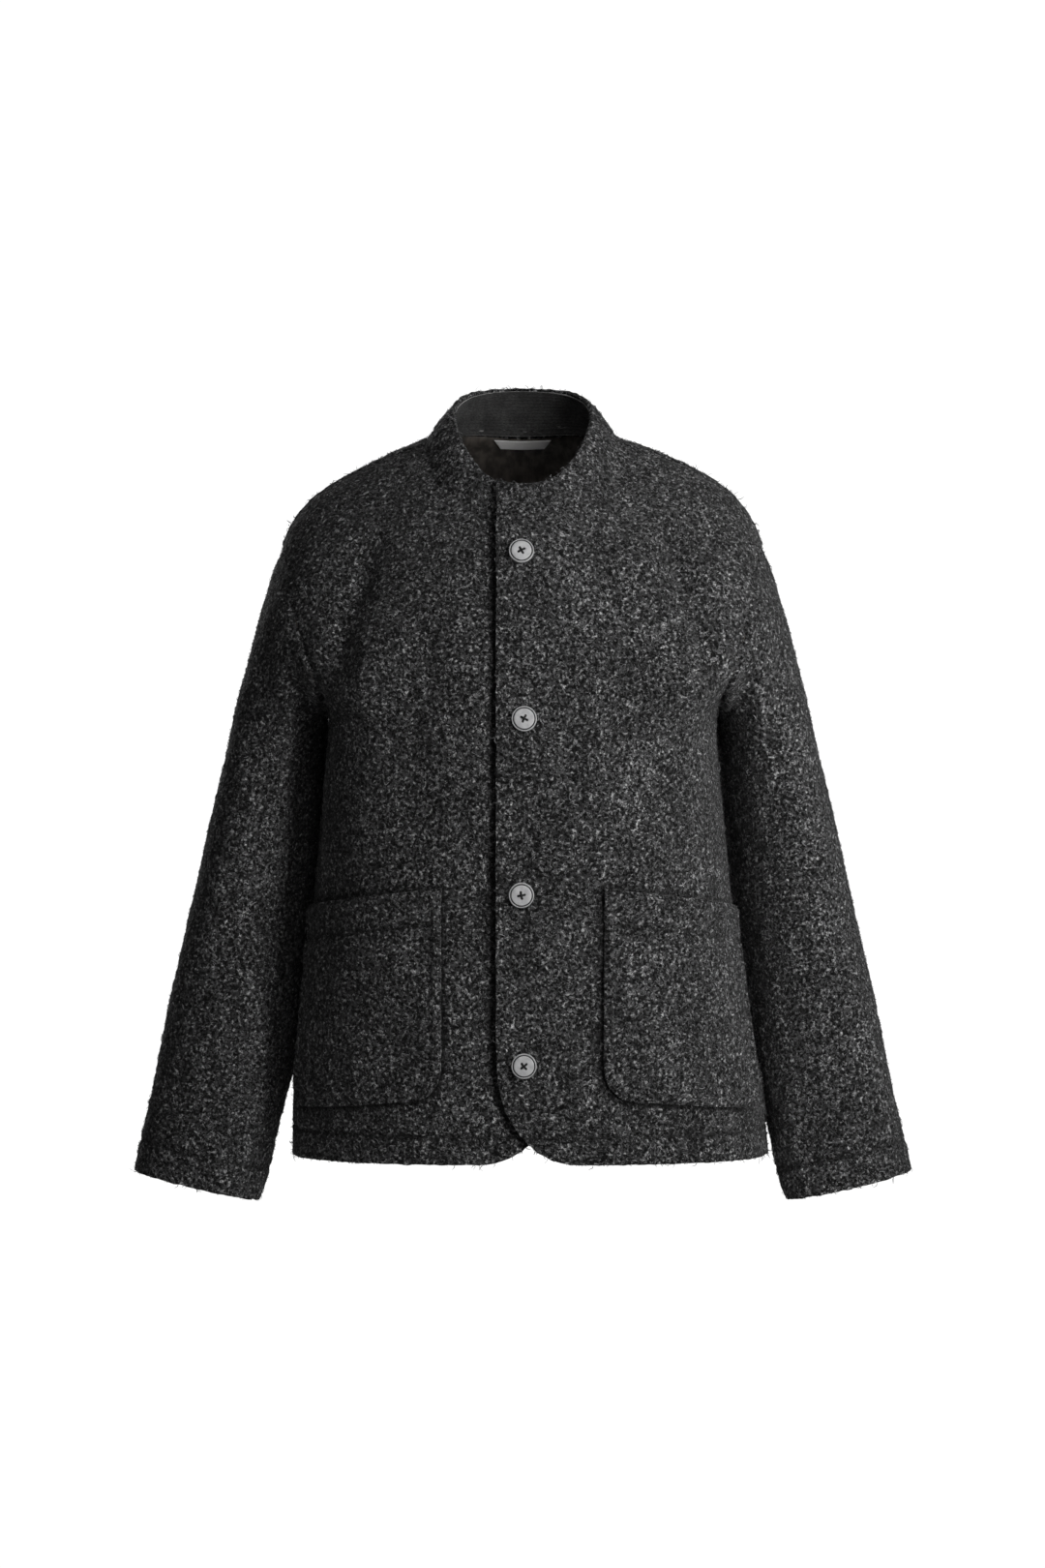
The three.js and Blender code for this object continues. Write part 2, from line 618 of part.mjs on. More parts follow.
function sleevePanel(side) {
  const turns = Array.from({ length: SLEEVE_SIDES }, (_, i) => i * 360 / SLEEVE_SIDES);
  const start = armholeStart(side).map((point, i) => armholeTurn(side, point, turns[i]));
  const plain = SLEEVE_POSITIONS.map((position) => turns.map((evenTurn, i) => {
    const { turn, scale, rest } = start[i];
    const settledTurn = THREE.MathUtils.lerp(turn, evenTurn, smoothStep(position / TURN_SETTLES));
    const settledScale = THREE.MathUtils.lerp(scale, 1, smoothStep(position / SCALE_SETTLES));
    const point = sleeveRing(side, position, settledTurn, settledScale);
    return point.addScaledVector(rest, 1 - smoothStep(position / REST_SETTLES));
  }));
  const outer = plain.map((row, r) => row.map((point, i) => {
    const height = r === 0 ? 0 : sleeveFolds(SLEEVE_POSITIONS[r], turns[i]);
    const groove = SLEEVE_POSITIONS[r] === CUFF_GROOVE_POSITION ? GROOVE_DEPTH : 0;
    return point.clone().addScaledVector(tubeNormal(plain, r, i, side), height - groove);
  }));
  const { centre } = ARMHOLES[side];
  const inner = outer.map((row, r) => row.map((point, i) => {
    if (r === 0) {
      const inward = centre.clone().sub(point).projectOnPlane(armholeNormal(side)).normalize();
      return point.clone().addScaledVector(inward, CLOTH);
    }
    const thickness = SLEEVE_POSITIONS[r] > CUFF_GROOVE_POSITION ? HEM_CLOTH : CLOTH;
    return point.clone().addScaledVector(tubeNormal(plain, r, i, side), -thickness);
  }));
  return wall(outer, inner, true);
}

function tubeNormal(rows, r, i, side) {
  const count = rows[r].length;
  const around = rows[r][(i + 1) % count].clone().sub(rows[r][(i + count - 1) % count]);
  const along = rows[Math.min(r + 1, rows.length - 1)][i].clone().sub(rows[Math.max(r - 1, 0)][i]);
  return along.cross(around).normalize().multiplyScalar(side);
}

// The collar runs from its lapping end round the wearer's left, the back and the right to its underlying end.
function ringWalk(ring, leftEdge, rightEdge) {
  const from = solve((angle) => ring(angle).x, -60, 60, leftEdge);
  const to = 360 + solve((angle) => ring(angle).x, -60, 60, rightEdge);
  return (share) => ring(THREE.MathUtils.lerp(from, to, share));
}

function collarTopRing(angle) {
  const { halfWidth, reach, middle, heights } = COLLAR_TOP;
  const turn = Math.acos(Math.cos(angle * DEGREE)) / DEGREE;
  const x = halfWidth * Math.sin(angle * DEGREE);
  const y = middle - reach * Math.cos(angle * DEGREE);
  return new THREE.Vector3(x, y, smoothAlong(heights, turn / COLLAR_KEY_ANGLE, true));
}

const collarBase = ringWalk((angle) => plainTorso(0, angle), LEFT_FRONT_EDGE_X, RIGHT_FRONT_EDGE_X);
const collarTop = ringWalk(collarTopRing, LEFT_FRONT_EDGE_X, RIGHT_FRONT_EDGE_X);

function collarMiddle(share, rise) {
  return collarBase(share).lerp(collarTop(share), rise);
}

function collarNormal(share, rise) {
  const around = collarMiddle(share + 0.004, rise).sub(collarMiddle(share - 0.004, rise));
  const up = collarTop(share).sub(collarBase(share));
  return around.cross(up).normalize();
}

// A place in the collar: its share of the length, rise from the base seam, and depth in from the outer face.
function collarPoint(share, rise, depth) {
  const point = collarMiddle(share, rise);
  const side = share < 0.5 ? 1 : -1;
  const lift = point.y < 0 ? overlapLift(side, point.x) : 0;
  const bulge = COLLAR_BULGE * Math.sin(Math.PI * rise);
  return point.addScaledVector(collarNormal(share, rise), lift + bulge - depth);
}

const COLLAR_COLUMNS = 30;
const COLLAR_RISES = [0.012, 0.25, 0.5, 0.75, 0.93, 1];

function collarPanel() {
  const shares = Array.from({ length: COLLAR_COLUMNS + 1 }, (_, i) => i / COLLAR_COLUMNS);
  const layer = (depth) => COLLAR_RISES.map((rise) => shares.map((share) => collarPoint(share, rise, depth)));
  return wall(layer(0), layer(COLLAR_CLOTH));
}

// A profile carried through many places, with both ends closed, filled as in the flat profile.
function sweep(sections, flatProfile) {
  const count = sections[0].length;
  const positions = sections.flat().flatMap((point) => point.toArray());
  const faces = [];
  for (let s = 0; s + 1 < sections.length; s += 1) {
    for (let i = 0; i < count; i += 1) {
      const next = (i + 1) % count;
      const [a, b, c, d] = [s * count + i, s * count + next, (s + 1) * count + next, (s + 1) * count + i];
      faces.push(a, c, b, a, d, c);
    }
  }
  const last = (sections.length - 1) * count;
  const clockwise = THREE.ShapeUtils.isClockWise(flatProfile);
  for (const triangle of THREE.ShapeUtils.triangulateShape(flatProfile, [])) {
    const [a, b, c] = clockwise ? [...triangle].reverse() : triangle;
    faces.push(a, b, c, last + a, last + c, last + b);
  }
  return solidGeometry(positions, faces);
}

const FACING_FROM_COLUMN = 4;
const FACING_TO_COLUMN = 29;
const FACING_RISES = [0.03, 0.25, 0.5, 0.75, 0.93];
const FACING_GAP = 0.8;

// The facing lies inside the collar, on the collar's own columns. Its ribs are raised towards the neck.
function facingPiece() {
  const depth = COLLAR_CLOTH + FACING_GAP;
  const from = FACING_RISES[0];
  const to = FACING_RISES[FACING_RISES.length - 1];
  const profile = [];
  for (let i = 0; i <= 2 * FACING_RIBS; i += 1) {
    const rib = i % 2 === 0 ? 0 : FACING_RIB;
    const rise = THREE.MathUtils.lerp(from, to, i / (2 * FACING_RIBS));
    profile.push(new THREE.Vector2(rise, depth + FACING_CLOTH + rib));
  }
  for (const rise of [...FACING_RISES].reverse()) {
    profile.push(new THREE.Vector2(rise, depth));
  }
  const sections = [];
  for (let column = FACING_FROM_COLUMN; column <= FACING_TO_COLUMN; column += 1) {
    sections.push(profile.map((place) => collarPoint(column / COLLAR_COLUMNS, place.x, place.y)));
  }
  return sweep(sections, profile.map((place) => new THREE.Vector2(place.x * COLLAR_HEIGHT, place.y)));
}

// The lining inside the upper back, on the back's own columns, with the neck tape along its top.
const LINING_DEPTH = CLOTH + 0.6;
const LINING_COLUMNS = 8;
const LINING_ROWS = table(
  ['level', 'cloth'],
  [0.05, NECK_TAPE_CLOTH],
  [0.45, NECK_TAPE_CLOTH],
  [0.48, LINING_CLOTH],
  [1, LINING_CLOTH],
  [1.7, LINING_CLOTH],
  [2.4, LINING_CLOTH],
  [3.1, LINING_CLOTH],
);

function liningPiece() {
  const shares = Array.from({ length: LINING_COLUMNS + 1 }, (_, i) => i / BACK_HALF_COLUMNS);
  const outer = [];
  const inner = [];
  for (const { level, cloth } of LINING_ROWS) {
    const [left, right] = [1, -1].map((side) => {
      return rowPlaces({ level, endLevel: level, endAngle: side * 90 }, side * 180, side, shares);
    });
    const places = [...left.reverse(), ...right.slice(1)];
    outer.push(places.map((place) => clothPair(place.level, place.angle, -LINING_DEPTH, 0).outer));
    inner.push(places.map((place) => clothPair(place.level, place.angle, -LINING_DEPTH - cloth, 0).outer));
  }
  return wall(outer, inner);
}

// The label lies on the neck tape, wider along its top.
function labelPiece() {
  const columns = 6;
  const depth = LINING_DEPTH + NECK_TAPE_CLOTH + LABEL.gap;
  const outer = [];
  const inner = [];
  for (const down of [0, 0.5, 1]) {
    const level = THREE.MathUtils.lerp(LABEL.topLevel, LABEL.bottomLevel, down);
    const width = THREE.MathUtils.lerp(LABEL.topWidth, LABEL.bottomWidth, down);
    const widthAngle = width / smoothAlong(torso.halfWidth, level) / DEGREE;
    const angles = Array.from({ length: columns + 1 }, (_, i) => 180 + widthAngle * (i / columns - 0.5));
    outer.push(angles.map((angle) => clothPair(level, angle, -depth, 0).outer));
    inner.push(angles.map((angle) => clothPair(level, angle, -depth - LABEL.cloth, 0).outer));
  }
  return wall(outer, inner);
}

// Patch pockets. Their columns are the front panel's own, with more at the rounded corners.
const POCKET_CORNER_STEPS = [0.08, 0.28, 0.6];
const POCKET_HEM_ROW = POCKET_HEM / POCKET_HEIGHT;
const POCKET_ROWS = [0, 0.05, POCKET_HEM_ROW, 0.19, 0.36, 0.52, 0.68, 0.82, 0.92, 1];

function pocketColumns() {
  const corner = POCKET_CORNER / POCKET_WIDTH;
  const { acrossPocket } = FRONT_COLUMNS;
  const columns = Array.from({ length: acrossPocket + 1 }, (_, i) => i / acrossPocket);
  for (const step of POCKET_CORNER_STEPS) {
    columns.push(step * corner, 1 - step * corner);
  }
  return columns.sort((a, b) => a - b);
}

// The height of a place on a pocket, between its slanting top and its slanting bottom with round corners.
function pocketHeightAt(across, down) {
  const fromEdge = Math.min(across, 1 - across) * POCKET_WIDTH;
  const short = Math.max(0, POCKET_CORNER - fromEdge);
  const rise = POCKET_CORNER - Math.sqrt(POCKET_CORNER ** 2 - short ** 2);
  const top = POCKET_TOP_Z + POCKET_TOP_SLOPE * across;
  const bottom = POCKET_BOTTOM_Z + POCKET_BOTTOM_SLOPE * across + rise;
  return THREE.MathUtils.lerp(top, bottom, down);
}

// How far a pocket's back stands off the panel: least at its sewn edges, most in its middle.
function pocketStandOff(across, down) {
  const inside = Math.max(0, Math.sin(Math.PI * across));
  return POCKET_EDGE_GAP + POCKET_BELLY * inside * Math.max(0, Math.sin(Math.PI * (0.25 + 0.75 * down)));
}

function pocketPair(side, across, down) {
  const level = levelAtHeight(pocketHeightAt(across, down));
  const { start, end } = pocketShares(side, level);
  const row = { level, endLevel: level, endAngle: side * 90 };
  const share = THREE.MathUtils.lerp(start, end, across);
  const { angle } = rowPlaces(row, frontEdgeAngle(side, level), side, [share])[0];
  const groove = down === POCKET_HEM_ROW ? GROOVE_DEPTH : 0;
  const thickness = (down < POCKET_HEM_ROW ? POCKET_HEM_CLOTH : POCKET_CLOTH) - groove;
  const off = overlapLift(side, plainTorso(level, angle).x) + pocketStandOff(across, down);
  return clothPair(level, angle, off + thickness, thickness);
}

function pocketPanel(side) {
  const rows = POCKET_ROWS.map((down) => pocketColumns().map((across) => pocketPair(side, across, down)));
  const layer = (face) => rows.map((pairs) => pairs.map((pair) => pair[face]));
  return wall(layer('outer'), layer('inner'));
}

// Buttons
const wasm = await Module();
wasm.setup();

function toSolid(geometry) {
  const plain = geometry.clone();
  plain.deleteAttribute('normal');
  plain.deleteAttribute('uv');
  const merged = mergeVertices(plain, 1e-4);
  const mesh = new wasm.Mesh({
    numProp: 3,
    vertProperties: new Float32Array(merged.attributes.position.array),
    triVerts: new Uint32Array(merged.index.array),
  });
  return new wasm.Manifold(mesh);
}

function fromSolid(solid) {
  const mesh = solid.getMesh();
  return solidGeometry(Array.from(mesh.vertProperties), Array.from(mesh.triVerts));
}

// Half the button's section, from the middle of its back round to the middle of its face.
const BUTTON_PROFILE = table(
  ['radius', 'height'],
  [0, 0],
  [0.9, 0],
  [1, 0.9],
  [1, 3.1],
  [0.95, 3.7],
  [0.89, 3.7],
  [0.855, 3],
  [0.81, 3.7],
  [0.74, 4.1],
  [0.45, 4.1],
  [0, 3.7],
);

function buttonGeometry() {
  const radius = BUTTON_DIAMETER / 2;
  const profile = BUTTON_PROFILE.map((row) => new THREE.Vector2(row.radius * radius, row.height));
  const disc = new THREE.LatheGeometry(profile, BUTTON_SIDES);
  const positions = Array.from(disc.attributes.position.array);
  let solid = toSolid(solidGeometry(positions, Array.from(disc.index.array)));
  for (let i = 0; i < 4; i += 1) {
    const hole = new THREE.CylinderGeometry(BUTTON_HOLE_RADIUS, BUTTON_HOLE_RADIUS, 12, BUTTON_HOLE_SIDES);
    const turn = i * Math.PI / 2;
    hole.translate(BUTTON_HOLE_RING * Math.cos(turn), 0, BUTTON_HOLE_RING * Math.sin(turn));
    solid = solid.subtract(toSolid(hole));
  }
  return fromSolid(solid);
}

function placeButton(mesh, row) {
  const level = solve((value) => plainTorso(value, 0).z, 0, LAST_RING, row.z);
  const angle = angleAtX(level, row.x);
  const normal = surfaceNormal(foldedTorso, level, angle);
  mesh.position.copy(foldedTorso(level, angle)).addScaledVector(normal, OVERLAP_LIFT + BUTTON_OFF_CLOTH);
  const facing = new THREE.Quaternion().setFromUnitVectors(new THREE.Vector3(0, 1, 0), normal);
  const spin = new THREE.Quaternion().setFromAxisAngle(new THREE.Vector3(0, 1, 0), row.turn * DEGREE);
  mesh.quaternion.copy(facing).multiply(spin);
}

// Materials
const wool = new THREE.MeshStandardMaterial({ color: 0x4a4a4c, roughness: 0.95, metalness: 0 });
const ribbing = new THREE.MeshStandardMaterial({ color: 0x2c2b2a, roughness: 0.9, metalness: 0 });
const liningCloth = new THREE.MeshStandardMaterial({ color: 0x191714, roughness: 0.6, metalness: 0 });
const labelCloth = new THREE.MeshStandardMaterial({ color: 0xd6d6d4, roughness: 0.8, metalness: 0 });
const buttonPlastic = new THREE.MeshStandardMaterial({ color: 0xb4b4b4, roughness: 0.35, metalness: 0 });

const jacket = new THREE.Group();

function addPiece(name, geometry, material) {
  const mesh = new THREE.Mesh(geometry, material);
  mesh.name = name;
  jacket.add(mesh);
  return mesh;
}

addPiece('front_left', frontPanel(1), wool);
addPiece('front_right', frontPanel(-1), wool);
addPiece('back', backPanel(), wool);
addPiece('sleeve_left', sleevePanel(1), wool);
addPiece('sleeve_right', sleevePanel(-1), wool);
addPiece('collar', collarPanel(), wool);
addPiece('collar_facing', facingPiece(), ribbing);
addPiece('lining', liningPiece(), liningCloth);
addPiece('label', labelPiece(), labelCloth);
addPiece('pocket_left', pocketPanel(1), wool);
addPiece('pocket_right', pocketPanel(-1), wool);
BUTTONS.forEach((row, i) => placeButton(addPiece(`button_${i + 1}`, buttonGeometry(), buttonPlastic), row));

export default jacket;
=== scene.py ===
"""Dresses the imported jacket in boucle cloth, with its fuzz, stitches, lining, facing, label and buttons."""

import math

import bmesh
import bpy
import numpy as np
from mathutils import Matrix, Quaternion, Vector, noise
from mathutils.bvhtree import BVHTree
from mathutils.kdtree import KDTree


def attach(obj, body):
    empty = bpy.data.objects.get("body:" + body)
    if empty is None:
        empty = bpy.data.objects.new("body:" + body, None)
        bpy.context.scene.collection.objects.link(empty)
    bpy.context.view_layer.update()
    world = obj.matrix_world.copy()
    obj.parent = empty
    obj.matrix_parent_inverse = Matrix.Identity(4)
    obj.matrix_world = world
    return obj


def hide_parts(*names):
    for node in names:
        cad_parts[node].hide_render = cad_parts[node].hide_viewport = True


MM = 0.001

# The camera looks level along +Y from in front of the jacket's middle.
CAMERA_DISTANCE = 3.6
CAMERA_HEIGHT = -0.318
CAMERA_LENS = 87.4
CAMERA_SENSOR = 36

FLOOR_HEIGHT = -1.45
FLOOR_SIZE = 3.2
FLOOR_GLOW = 0.55

# Each soft light's place, size in metres and power in watts; all are aimed at the jacket's middle.
JACKET_MIDDLE = (0, 0, -0.35)
LIGHTS = {
    "key": ((0.7, -0.83, -0.1), (0.35, 1.15), 8.8),
    "front": ((0.15, -1.9, 1.6), (1.0, 1.0), 4.2),
    "back": ((-1.3, 2.8, 1.0), (1.4, 1.4), 45),
}
SWEEP_STRENGTH = 1.05
FILL_STRENGTH = 0.06

# Edges of the cut cloth, and its own small unevenness.
RIM_ANGLE = math.radians(48)
JOIN_BEND = math.radians(50)
JOIN_SHAPE = math.radians(80)
RIM_ROUNDING = 1.0 * MM
SEAM_REACH = 1.6 * MM
JOIN_REACH = 3.2 * MM
JOIN_OVERLAP = 0.2 * MM
SEAM_OVERLAP = 0.7 * MM
CALM_BY_SEAM = 12 * MM
LUMPS_BY_SEAM = 3 * MM
LUMP_SIZE = 6.5 * MM
LONG_EDGE = 3.2 * MM
LUMP_HEIGHT = 1.1 * MM
SWELL_SIZE = 70 * MM
SWELL_HEIGHT = 1.1 * MM

# A face is outside or inside by how much it looks out of the garment, and on the rim by its points.
# Wool shows inside only at the turned hems and along the faced front edges.
OUTSIDE_FACING = -0.15
INSIDE_FACING = -0.3
RIM_SHARE = 0.6
HEM_INSIDE_HEIGHT = -0.634
FACED_WIDTH = 0.085
SLEEVE_AXIS = ((0.208, 0.005, -0.165), (0.247, 0.03, -0.33), (0.272, 0.01, -0.565), (0.308, 0.0, -0.697))
CUFF_INSIDE_HEIGHT = -0.665

# A pocket's turned edges lie double. Beside a covering edge and along a stitch the cloth and its fibres are
# darkened: painted shade.
ROLL_WIDTH = 9 * MM
ROLL_HEIGHT = 2.3 * MM
PAINTED_SHADE_DEPTH = 0.88
STITCH_SHADE_REACH = 3.4 * MM
STITCH_PAINTED_SHADE = 0.95
PAINTED_SHADE_CASTERS = {
    "front_left": (("pocket_left", 6.5 * MM),),
    "front_right": (("pocket_right", 6.5 * MM), ("front_left", 9.5 * MM)),
}

FIBRES_PER_SQUARE_METRE = 52000
FIBRE_SEGMENTS = 2
STRAY_SHARE = 0.16
STRAY_LENGTH = (2.5 * MM, 5 * MM)
LOOP_LENGTH = (3.5 * MM, 8 * MM)
STRAY_RISE = (0.5 * MM, 1.7 * MM)
LOOP_RISE = (0.3 * MM, 1.5 * MM)
FIBRE_WIDTH = (0.4 * MM, 0.75 * MM)
FIBRE_CURL = (0.6, 2.8)
FIBRE_TILT = 0.9
FIBRE_ROOT = 0.25 * MM
FIBRE_TONE = 0.11
FIBRE_TONE_SPREAD = 1.05

STITCH_PITCH = 4.2 * MM
STITCH_LENGTH = 3.7 * MM
STITCH_RADIUS = 0.5 * MM
STITCH_CLEARANCE = 1.7 * MM
STITCH_PULL = 1.2 * MM
STITCH_REACH = 4.5 * MM

HEM_STITCH_HEIGHT = -0.6417
POCKET_STITCH_DROP = 0.0315
POCKET_SEARCH_TOP = -0.405
POCKET_SEARCH_STEPS = 60
POCKET_WAYS = 500
HEM_WAYS = 700
CUFF_WAYS = 500
FRONT_LAP_MIDDLE = 0.007
CUFF_STITCH = {"out": (0.3575, -0.6535), "inside": (0.2427, -0.6801)}

BUTTON_RADIUS = 11.5 * MM
BUTTON_HOLE_RADIUS = 1.15 * MM
BUTTON_HOLE_RING = 3.0 * MM
BUTTON_TURNS = (28, 64, 12, 45)
GROOVE_REACH = (0.818, 0.915)
GROOVE_FLOOR = 2.3 * MM
HOLES_REACH = 0.4
HOLES_TOP = 3.7 * MM
THREAD_RADIUS = 0.6 * MM
STRAND_OFFSET = 0.34 * MM

# The pieces that each piece is sewn to, edge to edge.
SEWN_TO = {
    "front_left": ("back", "sleeve_left", "collar"),
    "front_right": ("back", "sleeve_right", "collar"),
    "back": ("front_left", "front_right", "sleeve_left", "sleeve_right", "collar"),
    "sleeve_left": ("front_left", "back"),
    "sleeve_right": ("front_right", "back"),
    "collar": ("front_left", "front_right", "back"),
}

# Creases pressed into the finished cloth, between two places seen from the front, in millimetres.
# Each fades in over a share of its length from a small height at its ends, on the half that it faces.
CREASE_FADE = 0.35
CREASE_END = 0.1
CREASE_FACING = 0.15
CREASE_COLUMNS = ("face", "x1", "z1", "x2", "z2", "width", "height")
BODY_CREASES = (
    ("front", 128, -60, 158, -150, 15, -3.2),
    ("front", 138, -105, 176, -215, 17, -3.4),
    ("front", 178, -150, 196, -232, 14, 2.2),
    ("front", 152, -250, 178, -330, 24, 2.2),
    ("front", 118, -255, 146, -400, 22, -2.0),
    ("front", -128, -64, -160, -168, 15, -3.0),
    ("front", -150, -120, -182, -225, 17, -3.2),
    ("front", -166, -240, -178, -350, 22, 2.4),
    ("front", -118, -210, -140, -395, 24, -2.4),
    ("front", -52, -330, -60, -540, 26, -1.8),
    ("front", -30, -170, -44, -300, 20, 1.6),
    ("front", 52, -420, 60, -640, 26, -1.6),
    ("front", 30, -130, 40, -240, 20, -1.4),
    ("front", 84, -620, 90, -667, 26, 2.0),
    ("front", 150, -615, 156, -667, 24, -1.8),
    ("front", -84, -618, -90, -667, 26, 1.8),
    ("front", -150, -615, -158, -667, 24, -1.8),
    ("back", 126, -70, 160, -160, 16, -3.0),
    ("back", 140, -120, 178, -220, 18, -3.2),
    ("back", -124, -72, -158, -158, 16, -3.0),
    ("back", -144, -118, -180, -222, 18, -3.0),
    ("back", 70, -180, 84, -330, 26, -2.0),
    ("back", -60, -210, -78, -390, 26, -2.0),
    ("back", 118, -300, 128, -470, 26, 2.0),
    ("back", -112, -330, -126, -520, 26, 2.0),
    ("back", 22, -420, 30, -640, 28, 1.8),
    ("back", -128, -560, -134, -667, 26, -1.8),
    ("back", 140, -570, 148, -667, 26, -1.8),
)
SLEEVE_CREASES = (
    ("front", 246, -150, 232, -262, 16, -2.6),
    ("front", 268, -190, 262, -330, 18, 2.4),
    ("front", 222, -330, 262, -378, 14, -2.4),
    ("front", 226, -386, 282, -418, 15, -2.6),
    ("front", 240, -420, 300, -440, 14, 2.0),
    ("front", 250, -478, 310, -500, 16, -2.2),
    ("front", 262, -560, 318, -590, 18, -1.8),
    ("front", 290, -600, 300, -690, 22, 1.6),
    ("back", 244, -160, 232, -270, 18, -2.8),
    ("back", 226, -345, 276, -372, 16, -2.4),
    ("back", 238, -400, 300, -418, 16, -2.8),
    ("back", 252, -452, 306, -480, 16, 2.2),
    ("back", 270, -560, 326, -580, 18, -2.0),
)

# At the back of the neck the ribbed facing reaches down over the neck tape, and the tape up over the seam.
RIB_SHARPENING = 1.6
FACING_SECTOR = 3
TUCK_FADE = 5 * MM
TUCK_UNDER_TAPE = 2 * MM
TAPE_OVER_SEAM = 4.6 * MM
TAPE_LOWER_HEIGHT = 0.0115

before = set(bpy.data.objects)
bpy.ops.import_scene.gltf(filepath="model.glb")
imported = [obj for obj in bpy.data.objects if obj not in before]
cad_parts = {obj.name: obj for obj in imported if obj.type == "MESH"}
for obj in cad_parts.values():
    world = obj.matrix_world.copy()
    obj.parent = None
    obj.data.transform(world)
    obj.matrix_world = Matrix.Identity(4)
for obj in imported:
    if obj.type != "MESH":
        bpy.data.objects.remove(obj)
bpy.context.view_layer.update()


# Camera, lights and floor

def make_camera():
    data = bpy.data.cameras.new("camera")
    data.sensor_width = CAMERA_SENSOR
    data.lens = CAMERA_LENS
    camera = bpy.data.objects.new("camera", data)
    camera.location = (0, -CAMERA_DISTANCE, CAMERA_HEIGHT)
    camera.rotation_euler = (math.radians(90), 0, 0)
    bpy.context.collection.objects.link(camera)
    bpy.context.scene.camera = camera


def make_lights():
    for name, (place, size, power) in LIGHTS.items():
        data = bpy.data.lights.new(name, "AREA")
        data.shape = "RECTANGLE"
        data.size, data.size_y = size
        data.energy = power
        light = bpy.data.objects.new(name, data)
        light.location = place
        toward = Vector(JACKET_MIDDLE) - Vector(place)
        light.rotation_euler = toward.to_track_quat("-Z", "Y").to_euler()
        bpy.context.collection.objects.link(light)


def make_world():
    """White to the camera, as a studio sweep is, and a dimmer even light on the cloth."""
    world = bpy.data.worlds.new("studio")
    world.use_nodes = True
    tree = world.node_tree
    tree.nodes.clear()
    sweep = tree.nodes.new("ShaderNodeBackground")
    sweep.inputs["Color"].default_value = (1, 1, 1, 1)
    sweep.inputs["Strength"].default_value = SWEEP_STRENGTH
    fill = tree.nodes.new("ShaderNodeBackground")
    fill.inputs["Color"].default_value = (1, 1, 1, 1)
    fill.inputs["Strength"].default_value = FILL_STRENGTH
    path = tree.nodes.new("ShaderNodeLightPath")
    mix = tree.nodes.new("ShaderNodeMixShader")
    output = tree.nodes.new("ShaderNodeOutputWorld")
    tree.links.new(path.outputs["Is Camera Ray"], mix.inputs[0])
    tree.links.new(fill.outputs[0], mix.inputs[1])
    tree.links.new(sweep.outputs[0], mix.inputs[2])
    tree.links.new(mix.outputs[0], output.inputs["Surface"])
    bpy.context.scene.world = world
    bpy.context.scene.view_settings.view_transform = "Standard"


def make_floor():
    mesh = bpy.data.meshes.new("floor")
    half = FLOOR_SIZE / 2
    corners = [(-half, -half), (half, -half), (half, half), (-half, half)]
    mesh.from_pydata([(x, y, FLOOR_HEIGHT) for x, y in corners], [], [(0, 1, 2, 3)])
    floor = bpy.data.objects.new("floor", mesh)
    bpy.context.collection.objects.link(floor)
    shader = Shader("floor_paint", roughness=0.9, base=grey(0.86), specular=0.2)
    shader.tint(shader.noise(shader.position, 3.0, 2), grey(0.84), grey(0.88))
    shader.set("Emission Color", (1, 1, 1, 1))
    seen = shader.add("ShaderNodeLightPath").outputs["Is Camera Ray"]
    shader.link(shader.math("MULTIPLY", seen, FLOOR_GLOW), "Emission Strength")
    mesh.materials.append(shader.material)


# Materials

def grey(value):
    return value, value, value


class Graph:
    """Short calls for making the nodes of a material or a node group."""

    def __init__(self, tree):
        self.tree = tree
        self.tree.nodes.clear()

    def add(self, kind, inputs=None, **settings):
        made = self.tree.nodes.new(kind)
        for name, value in settings.items():
            setattr(made, name, value)
        for key, value in (inputs or {}).items():
            if isinstance(value, bpy.types.NodeSocket):
                self.tree.links.new(value, made.inputs[key])
            else:
                made.inputs[key].default_value = value
        return made

    def noise(self, vector, scale, detail=2.0, roughness=0.5):
        inputs = {"Vector": vector, "Scale": scale, "Detail": detail, "Roughness": roughness}
        return self.add("ShaderNodeTexNoise", inputs).outputs["Fac"]

    def math(self, operation, *values):
        inputs = dict(enumerate(values))
        return self.add("ShaderNodeMath", inputs, operation=operation).outputs[0]

    def vector_math(self, operation, *values):
        inputs = dict(enumerate(values))
        return self.add("ShaderNodeVectorMath", inputs, operation=operation).outputs[0]

    def stretch(self, vector, scale):
        return self.vector_math("MULTIPLY", vector, scale)

    def shift(self, vector, by):
        return self.vector_math("ADD", vector, by)

    def remap(self, value, low, high, to_low=0.0, to_high=1.0):
        inputs = {"Value": value, "From Min": low, "From Max": high, "To Min": to_low, "To Max": to_high}
        return self.add("ShaderNodeMapRange", inputs, interpolation_type="SMOOTHSTEP").outputs["Result"]

    def blend(self, share, low, high):
        """A colour between two colours, each a tuple or a socket."""
        made = self.add("ShaderNodeMix", {"Factor": share}, data_type="RGBA")
        for index, value in ((6, low), (7, high)):
            if isinstance(value, bpy.types.NodeSocket):
                self.tree.links.new(value, made.inputs[index])
            else:
                made.inputs[index].default_value = (*value, 1)
        return made.outputs[2]

    def ridge(self, vector, scale, thin):
        """Thin wandering lines, where a noise passes its middle value."""
        value = self.math("SUBTRACT", self.noise(vector, scale, 1.0), 0.5)
        return self.remap(self.math("ABSOLUTE", value), 0.0, thin, 1.0, 0.0)


